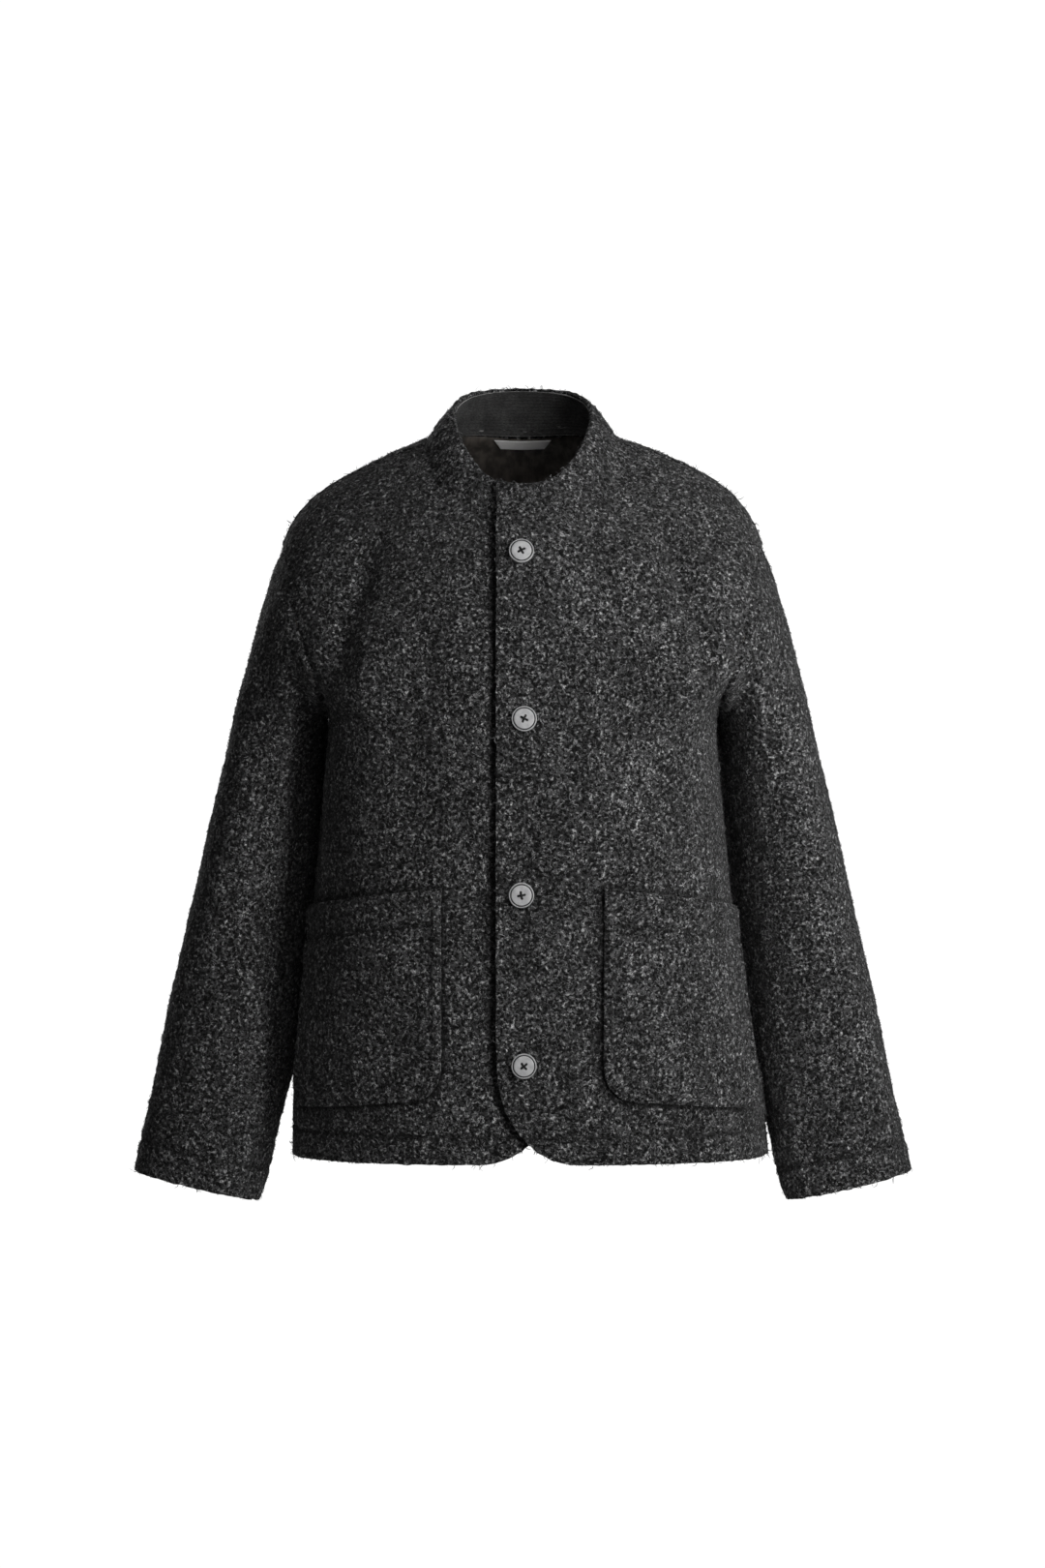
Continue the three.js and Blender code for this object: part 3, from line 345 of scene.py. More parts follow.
class Shader(Graph):
    """A material with one Principled shader, whose own constant values are set on its sockets."""

    def __init__(self, name, roughness, base=(0.5, 0.5, 0.5), specular=0.5, sheen=None, coat=None):
        self.material = bpy.data.materials.new(name)
        self.material.use_nodes = True
        super().__init__(self.material.node_tree)
        self.principled = self.tree.nodes.new("ShaderNodeBsdfPrincipled")
        output = self.tree.nodes.new("ShaderNodeOutputMaterial")
        self.tree.links.new(self.principled.outputs[0], output.inputs["Surface"])
        self.position = self.tree.nodes.new("ShaderNodeTexCoord").outputs["Object"]
        self.set("Base Color", (*base, 1))
        self.set("Roughness", roughness)
        self.set("Specular IOR Level", specular)
        if sheen:
            self.set("Sheen Weight", sheen[0])
            self.set("Sheen Roughness", sheen[1])
        if coat:
            self.set("Coat Weight", coat[0])
            self.set("Coat Roughness", coat[1])
        self.material.diffuse_color = (*base, 1)

    def set(self, socket, value):
        self.principled.inputs[socket].default_value = value

    def link(self, value, socket):
        self.tree.links.new(value, self.principled.inputs[socket])

    def tint(self, share, low, high):
        self.link(self.blend(share, low, high), "Base Color")

    def attribute(self, name):
        return self.add("ShaderNodeAttribute", attribute_name=name).outputs["Fac"]

    def bump(self, height, distance, strength=1.0):
        inputs = {"Height": height, "Distance": distance, "Strength": strength}
        self.link(self.add("ShaderNodeBump", inputs).outputs["Normal"], "Normal")


def boucle_group():
    """Curly loops of mixed dark and pale wool, about 2 to 3 mm across, as a colour and a height."""
    tree = bpy.data.node_groups.new("boucle", "ShaderNodeTree")
    tree.interface.new_socket("Color", in_out="OUTPUT", socket_type="NodeSocketColor")
    tree.interface.new_socket("Height", in_out="OUTPUT", socket_type="NodeSocketFloat")
    graph = Graph(tree)
    place = graph.add("ShaderNodeTexCoord").outputs["Object"]
    swirl = graph.add("ShaderNodeTexNoise", {"Vector": place, "Scale": 260.0, "Detail": 2.0}).outputs["Color"]
    swirl = graph.vector_math("SUBTRACT", swirl, grey(0.5))
    curled = graph.vector_math("MULTIPLY_ADD", swirl, grey(0.005), place)
    loops = graph.ridge(curled, 310.0, 0.1)
    more_loops = graph.ridge(graph.shift(curled, (3.1, 1.7, 5.3)), 430.0, 0.1)
    tufts = graph.noise(graph.shift(curled, (0.7, 2.9, 1.3)), 340.0, 3.0, 0.6)
    tufts = graph.remap(tufts, 0.42, 0.6)
    clumps = graph.remap(graph.noise(graph.shift(place, (1.9, 0.4, 2.2)), 120.0, 2.0), 0.32, 0.7)
    streaks = graph.noise(graph.stretch(place, (1.0, 1.0, 0.3)), 55.0, 3.0, 0.6)
    streaks = graph.remap(streaks, 0.28, 0.74, 0.62, 1.3)
    pale = graph.remap(graph.noise(graph.shift(place, (4.4, 3.3, 0.9)), 330.0, 2.0), 0.45, 0.7)
    strands = graph.math("MAXIMUM", loops, graph.math("MULTIPLY", more_loops, 0.75))
    height = graph.math("MULTIPLY_ADD", strands, 0.4, graph.math("MULTIPLY", tufts, 0.6))
    ground = graph.blend(tufts, grey(0.001), (0.07, 0.07, 0.071))
    wound = graph.blend(clumps, (0.014, 0.014, 0.0145), (0.2, 0.2, 0.203))
    bright = graph.blend(pale, wound, (0.88, 0.88, 0.885))
    lit = graph.math("MULTIPLY", strands, graph.remap(tufts, 0.1, 0.9, 0.05, 0.95))
    cloth = graph.blend(lit, ground, bright)
    toned = graph.vector_math("SCALE", cloth)
    graph.tree.links.new(streaks, toned.node.inputs["Scale"])
    output = graph.add("NodeGroupOutput")
    tree.links.new(toned, output.inputs["Color"])
    tree.links.new(height, output.inputs["Height"])
    return tree


def wool_material(group):
    shader = Shader("wool_boucle", roughness=0.95, base=(0.06, 0.06, 0.061), specular=0.15, sheen=(0.12, 0.5))
    cloth = shader.add("ShaderNodeGroup", node_tree=group)
    toned = shader.vector_math("SCALE", cloth.outputs["Color"])
    # The attribute darkens the cloth beside covering edges and along the stitches: painted shade.
    shade = shader.math("MULTIPLY_ADD", shader.attribute("painted_shade"), -PAINTED_SHADE_DEPTH, 1.0)
    shader.tree.links.new(shade, toned.node.inputs["Scale"])
    shader.link(toned, "Base Color")
    shader.bump(cloth.outputs["Height"], 1.5 * MM, 0.9)
    return shader.material


def fibre_material():
    """Each fibre has its own tone, from black to pale grey, darkened by painted shade beside covering edges
    and along the stitches.
    """
    shader = Shader("wool_fibre", roughness=0.8, base=grey(0.09), specular=0.25, sheen=(0.1, 0.4))
    shader.tint(shader.attribute("tone"), grey(0.004), (0.42, 0.42, 0.43))
    return shader.material


def lining_material():
    """A fine dark brown weave with a faint sheen and soft vertical streaks of roughness and lighter colour;
    the lighter colour is a painted highlight.
    """
    brown = (0.011, 0.0095, 0.008)
    shader = Shader("lining_weave", roughness=0.55, base=brown, specular=0.35, sheen=(0.1, 0.3))
    place = shader.position
    across = shader.math("SINE", shader.math("MULTIPLY", shader.noise(place, 900.0, 1.0), 12.0))
    streaks = shader.noise(shader.stretch(place, (1.0, 1.0, 0.12)), 110.0, 3.0, 0.6)
    # The lighter streaks in the colour are painted highlights.
    shader.tint(shader.remap(streaks, 0.35, 0.7), (0.045, 0.039, 0.034), (0.12, 0.104, 0.09))
    shader.link(shader.remap(streaks, 0.3, 0.7, 0.6, 0.42), "Roughness")
    slack = shader.noise(shader.stretch(place, (1.0, 1.0, 0.35)), 26.0, 2.0)
    height = shader.math("MULTIPLY_ADD", across, 0.03, slack)
    shader.bump(height, 3.0 * MM, 0.5)
    return shader.material


def ribbing_material():
    """Dark ribbed cloth, with fine yarn on each rib and painted shade in the grooves between the ribs."""
    shader = Shader("ribbed_facing", roughness=0.9, base=grey(0.02), specular=0.2, sheen=(0.15, 0.5))
    place = shader.position
    yarn = shader.noise(shader.stretch(place, (1.0, 1.0, 1.9)), 480.0, 2.0, 0.6)
    worn = shader.noise(place, 60.0, 2.0)
    yarn_tone = shader.remap(yarn, 0.3, 0.72, 0.4, 1.0)
    tone = shader.math("MULTIPLY", yarn_tone, shader.remap(worn, 0.2, 0.8, 0.6, 1.3))
    # The grooves between the ribs are darker: painted shade.
    tone = shader.math("MULTIPLY", tone, shader.remap(shader.attribute("relief"), 0.25, 0.75, 0.12, 1.0))
    shader.tint(tone, grey(0.004), (0.5, 0.495, 0.49))
    shader.bump(yarn, 0.7 * MM, 0.7)
    return shader.material


def label_material():
    """Pale satin tape with a fine woven grain, bare of any words."""
    shader = Shader("label_tape", roughness=0.5, base=(0.85, 0.84, 0.83), specular=0.4, sheen=(0.2, 0.3))
    weave = shader.noise(shader.stretch(shader.position, (0.5, 1.0, 3.0)), 900.0, 2.0, 0.6)
    cloudy = shader.noise(shader.position, 160.0, 2.0)
    tone = shader.math("MULTIPLY_ADD", weave, 0.6, shader.math("MULTIPLY", cloudy, 0.4))
    shader.tint(shader.remap(tone, 0.3, 0.7), (0.88, 0.87, 0.86), (0.98, 0.97, 0.96))
    shader.bump(weave, 0.25 * MM, 0.6)
    return shader.material


def button_material():
    """Cool grey, softly polished, with a faint turned grain and cloudy patches."""
    shader = Shader("button_grey", roughness=0.36, base=(0.6, 0.6, 0.61), specular=0.5, coat=(0.25, 0.2))
    cloudy = shader.noise(shader.position, 240.0, 3.0, 0.55)
    fine = shader.noise(shader.shift(shader.position, (1.0, 2.0, 3.0)), 1500.0, 2.0)
    tone = shader.math("MULTIPLY_ADD", fine, 0.25, shader.math("MULTIPLY", cloudy, 0.75))
    shader.tint(shader.remap(tone, 0.3, 0.7), (0.52, 0.52, 0.53), (0.7, 0.7, 0.705))
    shader.link(shader.remap(cloudy, 0.3, 0.7, 0.3, 0.42), "Roughness")
    shader.bump(fine, 0.05 * MM, 0.5)
    return shader.material


def groove_shade_material():
    """The unpolished dark of a button's groove and holes: painted shade, with a faint random speckle."""
    shader = Shader("button_groove", roughness=0.8, base=grey(0.05), specular=0.2)
    speckle = shader.noise(shader.position, 900.0, 2.0)
    shader.tint(speckle, grey(0.02), (0.085, 0.085, 0.087))
    shader.bump(speckle, 0.08 * MM, 0.5)
    return shader.material


def thread_material():
    shader = Shader("dark_thread", roughness=0.6, base=grey(0.012), specular=0.3, sheen=(0.2, 0.3))
    twist = shader.noise(shader.position, 2400.0, 1.0)
    shader.tint(twist, grey(0.004), grey(0.03))
    shader.bump(twist, 0.15 * MM, 0.6)
    return shader.material


# Cloth pieces

def add_object(name, mesh):
    piece = bpy.data.objects.new(name, mesh)
    bpy.context.collection.objects.link(piece)
    return piece


def finished(made, name):
    """A mesh from a bmesh, which is then let go."""
    mesh = bpy.data.meshes.new(name)
    made.to_mesh(mesh)
    made.free()
    return mesh


def values_of(mesh, name):
    values = np.zeros(len(mesh.vertices), np.float32)
    mesh.attributes[name].data.foreach_get("value", values)
    return values.astype(float)


def keep_values(mesh, name, values):
    attribute = mesh.attributes.new(name, "FLOAT", "POINT")
    attribute.data.foreach_set("value", values.astype(np.float32))


def tree_of(mesh):
    made = bmesh.new()
    made.from_mesh(mesh)
    tree = BVHTree.FromBMesh(made)
    made.free()
    return tree


def sewn_trees(node):
    """The CAD pieces that a piece is sewn to, ready to be measured against."""
    return [tree_of(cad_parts[other].data) for other in SEWN_TO.get(node, ())]


def close_seams(made, node):
    """Brings a piece's seam edges up to the pieces that it is sewn to, a hair past the middle of the gap."""
    rims = {v for e in made.edges if e.is_manifold and e.calc_face_angle() > RIM_ANGLE for v in e.verts}
    for tree in sewn_trees(node):
        for vert in rims:
            place, _, _, distance = tree.find_nearest(vert.co, SEAM_REACH)
            if place is not None and distance > 1e-6:
                vert.co += (place - vert.co).normalized() * (distance / 2 + SEAM_OVERLAP)


def refined_mesh(node, levels, round_rims=True, keep_corners=False):
    """A copy of a CAD node's mesh with its points merged, its rims rounded and its faces made finer."""
    made = bmesh.new()
    made.from_mesh(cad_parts[node].data)
    bmesh.ops.remove_doubles(made, verts=made.verts, dist=1e-5)
    close_seams(made, node)
    bmesh.ops.join_triangles(
        made, faces=made.faces, angle_face_threshold=JOIN_BEND, angle_shape_threshold=JOIN_SHAPE
    )
    bmesh.ops.recalc_face_normals(made, faces=made.faces)
    if round_rims:
        rim = made.verts.layers.float.new("rim")
        rims = [e for e in made.edges if len(e.link_faces) == 2 and e.calc_face_angle() > RIM_ANGLE]
        rounded = bmesh.ops.bevel(
            made, geom=rims, offset=RIM_ROUNDING, offset_type="OFFSET", segments=2, profile=0.5,
            material=-1, affect="EDGES", clamp_overlap=True,
        )
        for vert in rounded["verts"]:
            vert[rim] = 1.0
    mesh = finished(made, f"{node}_coarse")
    carrier = bpy.data.objects.new(f"{node}_coarse", mesh)
    bpy.context.collection.objects.link(carrier)
    subdivide = carrier.modifiers.new("finer", "SUBSURF")
    subdivide.subdivision_type = "SIMPLE" if keep_corners else "CATMULL_CLARK"
    subdivide.levels = levels
    subdivide.render_levels = levels
    evaluated = carrier.evaluated_get(bpy.context.evaluated_depsgraph_get())
    fine = bpy.data.meshes.new_from_object(evaluated)
    fine.name = f"{node}_cloth"
    bpy.data.objects.remove(carrier)
    bpy.data.meshes.remove(mesh)
    fine.shade_smooth()
    return fine


def finer_outside(node, mesh):
    """Halves the long edges of the wool side once more, so that it can carry the cloth's small lumps."""
    outside = outward_facing(node, mesh) > OUTSIDE_FACING
    made = bmesh.new()
    made.from_mesh(mesh)
    made.faces.ensure_lookup_table()
    edges = {e for i in np.flatnonzero(outside) for e in made.faces[i].edges if e.calc_length() > LONG_EDGE}
    bmesh.ops.subdivide_edges(made, edges=list(edges), cuts=1, use_grid_fill=True)
    made.to_mesh(mesh)
    made.free()
    mesh.shade_smooth()


def join_seams(node, mesh):
    """Draws the rounded rims up to the pieces that they are sewn to, so that no light passes the seam."""
    points = points_of(mesh)
    pull = np.clip(2 * values_of(mesh, "rim") - 1, 0, 1)
    for tree in sewn_trees(node):
        for i in np.flatnonzero(pull):
            place, _, _, distance = tree.find_nearest(points[i], JOIN_REACH)
            if place is not None and distance > 1e-6:
                toward = (np.array(place) - points[i]) / distance
                points[i] += toward * (distance + JOIN_OVERLAP) * pull[i]
    set_points(mesh, points)


def roll_edges(node, mesh):
    """Raises a soft roll just inside a pocket's edges, where its cloth is turned in."""
    points = points_of(mesh)
    rims = points[values_of(mesh, "rim") > 0.9]
    outward = outward_of(node, points)
    share = np.clip(distance_to(points, rims) / ROLL_WIDTH, 0, 1)
    front = np.clip(np.einsum("ij,ij->i", normals_of(mesh), outward) / 0.5, 0, 1)
    points += outward * (ROLL_HEIGHT * np.sin(np.pi * share) ** 2 * front)[:, None]
    set_points(mesh, points)


def keep_painted_shade(node, mesh, seam):
    """Keeps as an attribute the painted shade beside a covering edge and along the stitches."""
    points = points_of(mesh)
    flat = np.zeros(len(points))
    for other, reach in PAINTED_SHADE_CASTERS.get(node, ()):
        tree = tree_of(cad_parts[other].data)
        for i, point in enumerate(points):
            distance = tree.find_nearest(point, reach)[3]
            if distance is not None:
                flat[i] = max(flat[i], 1 - distance / reach)
    flat = np.sin(np.pi / 2 * flat)
    if seam:
        close, distance = near_seam(points, seam, STITCH_SHADE_REACH)
        flat[close] = np.maximum(flat[close], STITCH_PAINTED_SHADE * (1 - distance / STITCH_SHADE_REACH))
    keep_values(mesh, "painted_shade", flat)


def distance_to(points, places):
    """How far each point lies from the nearest of some places."""
    tree = KDTree(len(places))
    for i, place in enumerate(places):
        tree.insert(place, i)
    tree.balance()
    return np.array([tree.find(point)[2] for point in points])


def vectors_of(items, name):
    values = np.empty(len(items) * 3, np.float32)
    items.foreach_get(name, values)
    return values.reshape(-1, 3).astype(float)


def points_of(mesh):
    return vectors_of(mesh.vertices, "co")


def normals_of(mesh):
    return vectors_of(mesh.vertex_normals, "vector")


def set_points(mesh, points):
    mesh.vertices.foreach_set("co", points.astype(np.float32).ravel())
    mesh.update()


def nearest_on_axis(points, axis, side):
    """The nearest place on a sleeve's axis for each point."""
    best = np.full(len(points), 1e9)
    nearest = np.zeros_like(points)
    joints = [np.array([side * x, y, z]) for x, y, z in axis]
    for start, end in zip(joints[:-1], joints[1:]):
        run = end - start
        share = np.clip((points - start) @ run / (run @ run), 0, 1)
        place = start + share[:, None] * run
        distance = np.linalg.norm(points - place, axis=1)
        closer = distance < best
        best[closer] = distance[closer]
        nearest[closer] = place[closer]
    return nearest


def outward_of(node, points):
    """The way out of the garment at each point, from the middle of the body or of the sleeve."""
    if node.startswith("sleeve"):
        side = 1 if node.endswith("left") else -1
        middle = nearest_on_axis(points, SLEEVE_AXIS, side)
    else:
        middle = np.zeros_like(points)
        middle[:, 2] = np.minimum(points[:, 2], -0.14) - 0.02
    way = points - middle
    return way / np.maximum(np.linalg.norm(way, axis=1), 1e-6)[:, None]


def crease_heights(points, outward, creases, side=1):
    """Soft troughs and ridges across listed lines, which fade out at both ends."""
    heights = np.zeros(len(points))
    for row in creases:
        crease = dict(zip(CREASE_COLUMNS, row))
        start = np.array([side * crease["x1"], crease["z1"]]) * MM
        run = np.array([side * crease["x2"], crease["z2"]]) * MM - start
        width = crease["width"] * MM
        flat = points[:, [0, 2]] - start
        share = np.clip(flat @ run / (run @ run), 0, 1)
        distance = np.linalg.norm(flat - share[:, None] * run, axis=1)
        bump = np.where(distance < width, 0.5 * (1 + np.cos(np.pi * distance / width)), 0)
        ends = np.clip(np.minimum(share, 1 - share) / CREASE_FADE + CREASE_END, 0, 1)
        facing = outward[:, 1] * (-1 if crease["face"] == "front" else 1) > CREASE_FACING
        heights += crease["height"] * MM * bump * ends * facing
    return heights


def smooth_noise(points, size, seed):
    away = Vector((seed * 1.7, seed * 0.9, seed * 2.3))
    return np.array([noise.noise(Vector(p) / size + away) for p in points])


def relief_of(mesh, rounds):
    """How far each point stands proud of its smoothed neighbourhood, in metres."""
    count = len(mesh.vertices)
    edges = np.empty(len(mesh.edges) * 2, np.int32)
    mesh.edges.foreach_get("vertices", edges)
    edges = edges.reshape(-1, 2)
    degree = np.bincount(edges.ravel(), minlength=count).astype(float)
    start = points_of(mesh)
    smooth = start.copy()
    for _ in range(rounds):
        total = np.zeros_like(smooth)
        for axis in range(3):
            total[:, axis] += np.bincount(edges[:, 0], weights=smooth[edges[:, 1], axis], minlength=count)
            total[:, axis] += np.bincount(edges[:, 1], weights=smooth[edges[:, 0], axis], minlength=count)
        smooth = total / degree[:, None]
    return np.einsum("ij,ij->i", start - smooth, normals_of(mesh))


def keep_relief(mesh, rounds, depth):
    """Keeps the relief as an attribute from 0 in a groove to 1 on a ridge, for the material's painted shade
    in the grooves.
    """
    keep_values(mesh, "relief", np.clip(relief_of(mesh, rounds) / depth * 0.5 + 0.5, 0, 1))


def seam_clearance(node, points):
    """How far each point lies from the pieces that its own is sewn to, as far as a seam calms the cloth."""
    clearance = np.full(len(points), CALM_BY_SEAM)
    for tree in sewn_trees(node):
        for i, point in enumerate(points):
            distance = tree.find_nearest(point, clearance[i])[3]
            if distance is not None:
                clearance[i] = min(clearance[i], distance)
    return clearance


def press_cloth(node, mesh):
    """Gives both faces of the cloth its listed creases, a slow swell and small lumps."""
    points = points_of(mesh)
    outward = outward_of(node, points)
    if node.startswith("sleeve"):
        side = 1 if node.endswith("left") else -1
        heights = crease_heights(points, outward, SLEEVE_CREASES, side)
    elif node in ("front_left", "front_right", "back"):
        heights = crease_heights(points, outward, BODY_CREASES)
    else:
        heights = np.zeros(len(points))
    swell = 0.0 if node in ("collar", "pocket_left", "pocket_right") else SWELL_HEIGHT
    heights += swell * smooth_noise(points, SWELL_SIZE, 3)
    from_seam = seam_clearance(node, points)
    heights *= np.clip(from_seam / CALM_BY_SEAM, 0, 1)
    lumps = LUMP_HEIGHT * smooth_noise(points, LUMP_SIZE, 8) * np.clip(from_seam / LUMPS_BY_SEAM, 0, 1)
    points += outward * heights[:, None] + normals_of(mesh) * lumps[:, None]
    set_points(mesh, points)


def face_values(mesh):
    return vectors_of(mesh.polygons, "center"), vectors_of(mesh.polygons, "normal")


def outward_facing(node, mesh):
    """How much each face looks out of the garment, from 1 for straight out to -1 for straight in."""
    centres, normals = face_values(mesh)
    return np.einsum("ij,ij->i", normals, outward_of(node, centres))


def rim_faces(mesh):
    """Which faces belong to the rounded rims, where the wool is turned in over the lining's edge."""
    rim = values_of(mesh, "rim")
    return np.array([rim[list(face.vertices)].mean() > RIM_SHARE for face in mesh.polygons])


def inside_faces(node, mesh):
    """Which faces are lined: those that look into the garment, away from its hems and front facings."""
    centres, _ = face_values(mesh)
    inside = (outward_facing(node, mesh) < INSIDE_FACING) & ~rim_faces(mesh)
    if node.startswith("sleeve"):
        return inside & (centres[:, 2] > CUFF_INSIDE_HEIGHT)
    above_hem = centres[:, 2] > HEM_INSIDE_HEIGHT
    if node == "back":
        return inside & above_hem
    return inside & above_hem & (np.abs(centres[:, 0]) > FACED_WIDTH)


def wool_cloth(node, materials, lined):
    """A piece of the wool cloth, with the lining's finish on its inside where it is lined."""
    mesh = refined_mesh(node, 2)
    finer_outside(node, mesh)
    if node.startswith("pocket"):
        roll_edges(node, mesh)
    press_cloth(node, mesh)
    join_seams(node, mesh)
    mesh.materials.append(materials["wool"])
    if lined:
        mesh.materials.append(materials["lining"])
        mesh.polygons.foreach_set("material_index", inside_faces(node, mesh).astype(np.int32))
    return add_object(f"{node}_cloth", mesh)


def height_above_edge(points):
    """How high each point of the facing lies above its lower edge, on the same side of the neck."""
    turn = np.degrees(np.arctan2(points[:, 0], points[:, 1])) + 180
    sector = np.clip((turn / FACING_SECTOR).astype(int), 0, int(360 / FACING_SECTOR))
    lowest = np.full(sector.max() + 1, 1e9)
    np.minimum.at(lowest, sector, points[:, 2])
    return points[:, 2] - lowest[sector]


def facing_cloth(materials):
    """The ribbed facing, with its ribs kept crisp and its lower edge tucked down behind the neck tape."""
    mesh = refined_mesh("collar_facing", 2, round_rims=False)
    points = points_of(mesh)
    relief = relief_of(mesh, 4)
    points += normals_of(mesh) * (RIB_SHARPENING * relief)[:, None]
    points[:, 2] += 0.3 * MM * smooth_noise(points, 22 * MM, 5)
    near_edge = np.clip(1 - height_above_edge(points) / TUCK_FADE, 0, 1)
    points[:, 2] -= TUCK_UNDER_TAPE * near_edge
    set_points(mesh, points)
    keep_relief(mesh, 5, 0.1 * MM)
    mesh.materials.append(materials["ribbing"])
    return add_object("collar_facing_cloth", mesh)


def lining_cloth(materials):
    """The slack lining of the upper back, a little puckered below its tape."""
    mesh = refined_mesh("lining", 2, round_rims=False)
    points = points_of(mesh)
    way = outward_of("back", points)
    pucker = smooth_noise(points * np.array([1, 1, 0.3]), 16 * MM, 6)
    below_tape = np.clip((0.0 - points[:, 2]) / 0.03, 0, 1)
    points -= way * (1.0 * MM * np.maximum(pucker, 0) * below_tape)[:, None]
    points[:, 2] += TAPE_OVER_SEAM * np.clip((points[:, 2] - TAPE_LOWER_HEIGHT) / TUCK_FADE, 0, 1)
    set_points(mesh, points)
    mesh.materials.append(materials["lining"])
    return add_object("lining_cloth", mesh)


def label_cloth(materials):
    mesh = refined_mesh("label", 3, round_rims=False, keep_corners=True)
    mesh.materials.append(materials["label"])
    return add_object("label_cloth", mesh)


# Fuzz

def fibre_mesh(name, roots, normals, upright_and_unshaded, seed, material):
    """Short curled fibres as bent ribbons: most lie in low loops, and some stray out from the cloth."""
    r = np.random.default_rng(seed)
    count = len(roots)
    helper = np.where(np.abs(normals[:, 2:3]) < 0.9, [[0, 0, 1]], [[1, 0, 0]])
    right = np.cross(helper, normals)
    right /= np.linalg.norm(right, axis=1)[:, None]
    up = np.cross(normals, right)
    stray = r.random(count) < STRAY_SHARE
    length = np.where(stray, r.uniform(*STRAY_LENGTH, count), r.uniform(*LOOP_LENGTH, count))
    width = r.uniform(*FIBRE_WIDTH, count)
    heading = r.uniform(0, 2 * np.pi, count)
    curl = r.uniform(*FIBRE_CURL, count) * r.choice([-1, 1], count)
    rise = np.where(stray, r.uniform(*STRAY_RISE, count), r.uniform(*LOOP_RISE, count))
    tilt = r.uniform(-FIBRE_TILT, FIBRE_TILT, count)
    steps = FIBRE_SEGMENTS + 1
    along = np.linspace(0, 1, steps)
    centre = roots - FIBRE_ROOT * normals
    rows = []
    for i, s in enumerate(along):
        angle = heading + curl * (s - 0.5)
        forward = np.cos(angle)[:, None] * right + np.sin(angle)[:, None] * up
        sideways = -np.sin(angle)[:, None] * right + np.cos(angle)[:, None] * up
        if i > 0:
            centre = centre + forward * (length / FIBRE_SEGMENTS)[:, None]
        loop = 4 * s * (1 - s)
        lift = upright_and_unshaded * np.where(stray, rise * s, rise * loop)
        across = sideways + tilt[:, None] * normals
        half = 0.5 * width * (0.45 + 0.55 * loop)
        middle = centre + normals * lift[:, None]
        rows.append(np.stack([middle - across * half[:, None], middle + across * half[:, None]], axis=1))
    points = np.stack(rows, axis=1).reshape(-1, 3)
    per = 2 * steps
    base = (np.arange(count) * per)[:, None, None]
    quads = np.array([[2 * i, 2 * i + 1, 2 * i + 3, 2 * i + 2] for i in range(FIBRE_SEGMENTS)])
    faces = (base + quads[None]).reshape(-1, 4)
    mesh = quad_mesh(name, points, faces)
    # The tone is darkened by the same share that lowers a fibre: painted shade.
    tone = upright_and_unshaded * np.clip(r.lognormal(math.log(FIBRE_TONE), FIBRE_TONE_SPREAD, count), 0.0, 1.0)
    keep_values(mesh, "tone", np.repeat(tone, per))
    mesh.materials.append(material)
    return mesh


def quad_mesh(name, points, faces):
    mesh = bpy.data.meshes.new(name)
    mesh.vertices.add(len(points))
    mesh.vertices.foreach_set("co", points.astype(np.float32).ravel())
    mesh.loops.add(faces.size)
    mesh.loops.foreach_set("vertex_index", faces.astype(np.int32).ravel())
    mesh.polygons.add(len(faces))
    mesh.polygons.foreach_set("loop_start", np.arange(0, faces.size, 4, dtype=np.int32))
    mesh.update(calc_edges=True)
    mesh.validate()
    mesh.shade_smooth()
    return mesh


def grow_fuzz(piece, seed, material, seam):
    """Fibres spread evenly over the outer wool faces of a piece, apart from the line of its seam."""
    mesh = piece.data
    mesh.calc_loop_triangles()
    count = len(mesh.loop_triangles)
    corners = np.empty(count * 3, np.int32)
    owner = np.empty(count, np.int32)
    mesh.loop_triangles.foreach_get("vertices", corners)
    mesh.loop_triangles.foreach_get("polygon_index", owner)
    index = np.empty(len(mesh.polygons), np.int32)
    mesh.polygons.foreach_get("material_index", index)
    node = piece.name.removesuffix("_cloth")
    outside = outward_facing(node, mesh) > OUTSIDE_FACING
    wool = (index[owner] == 0) & outside[owner]
    corners = corners.reshape(-1, 3)[wool]
    points, vertex_normals = points_of(mesh), normals_of(mesh)
    a, b, c = (points[corners[:, i]] for i in range(3))
    area = np.linalg.norm(np.cross(b - a, c - a), axis=1) / 2
    number = int(area.sum() * FIBRES_PER_SQUARE_METRE)
    r = np.random.default_rng(seed)
    chosen = r.choice(len(area), number, p=area / area.sum())
    u, v = r.random((2, number))
    fold = u + v > 1
    u, v = np.where(fold, 1 - u, u), np.where(fold, 1 - v, v)
    weights = np.stack([1 - u - v, u, v], axis=1)[:, :, None]
    roots = (points[corners[chosen]] * weights).sum(axis=1)
    ways = (vertex_normals[corners[chosen]] * weights).sum(axis=1)
    ways /= np.maximum(np.linalg.norm(ways, axis=1), 1e-9)[:, None]
    # Beside covering edges and along the stitches the fibres lie lower, and their darkening there is painted
    # shade.
    flat = (values_of(mesh, "painted_shade")[corners[chosen]] * weights[:, :, 0]).sum(axis=1)
    upright_and_unshaded = 1 - PAINTED_SHADE_DEPTH * flat
    if seam:
        on_line, _ = near_seam(roots, seam, STITCH_CLEARANCE)
        roots, ways, upright_and_unshaded = (np.delete(values, on_line, axis=0) for values in (roots, ways, upright_and_unshaded))
    fibres = fibre_mesh(f"{node}_fuzz", roots, ways, upright_and_unshaded, seed + 100, material)
    return add_object(f"{node}_fuzz", fibres)


# Stitches and buttons

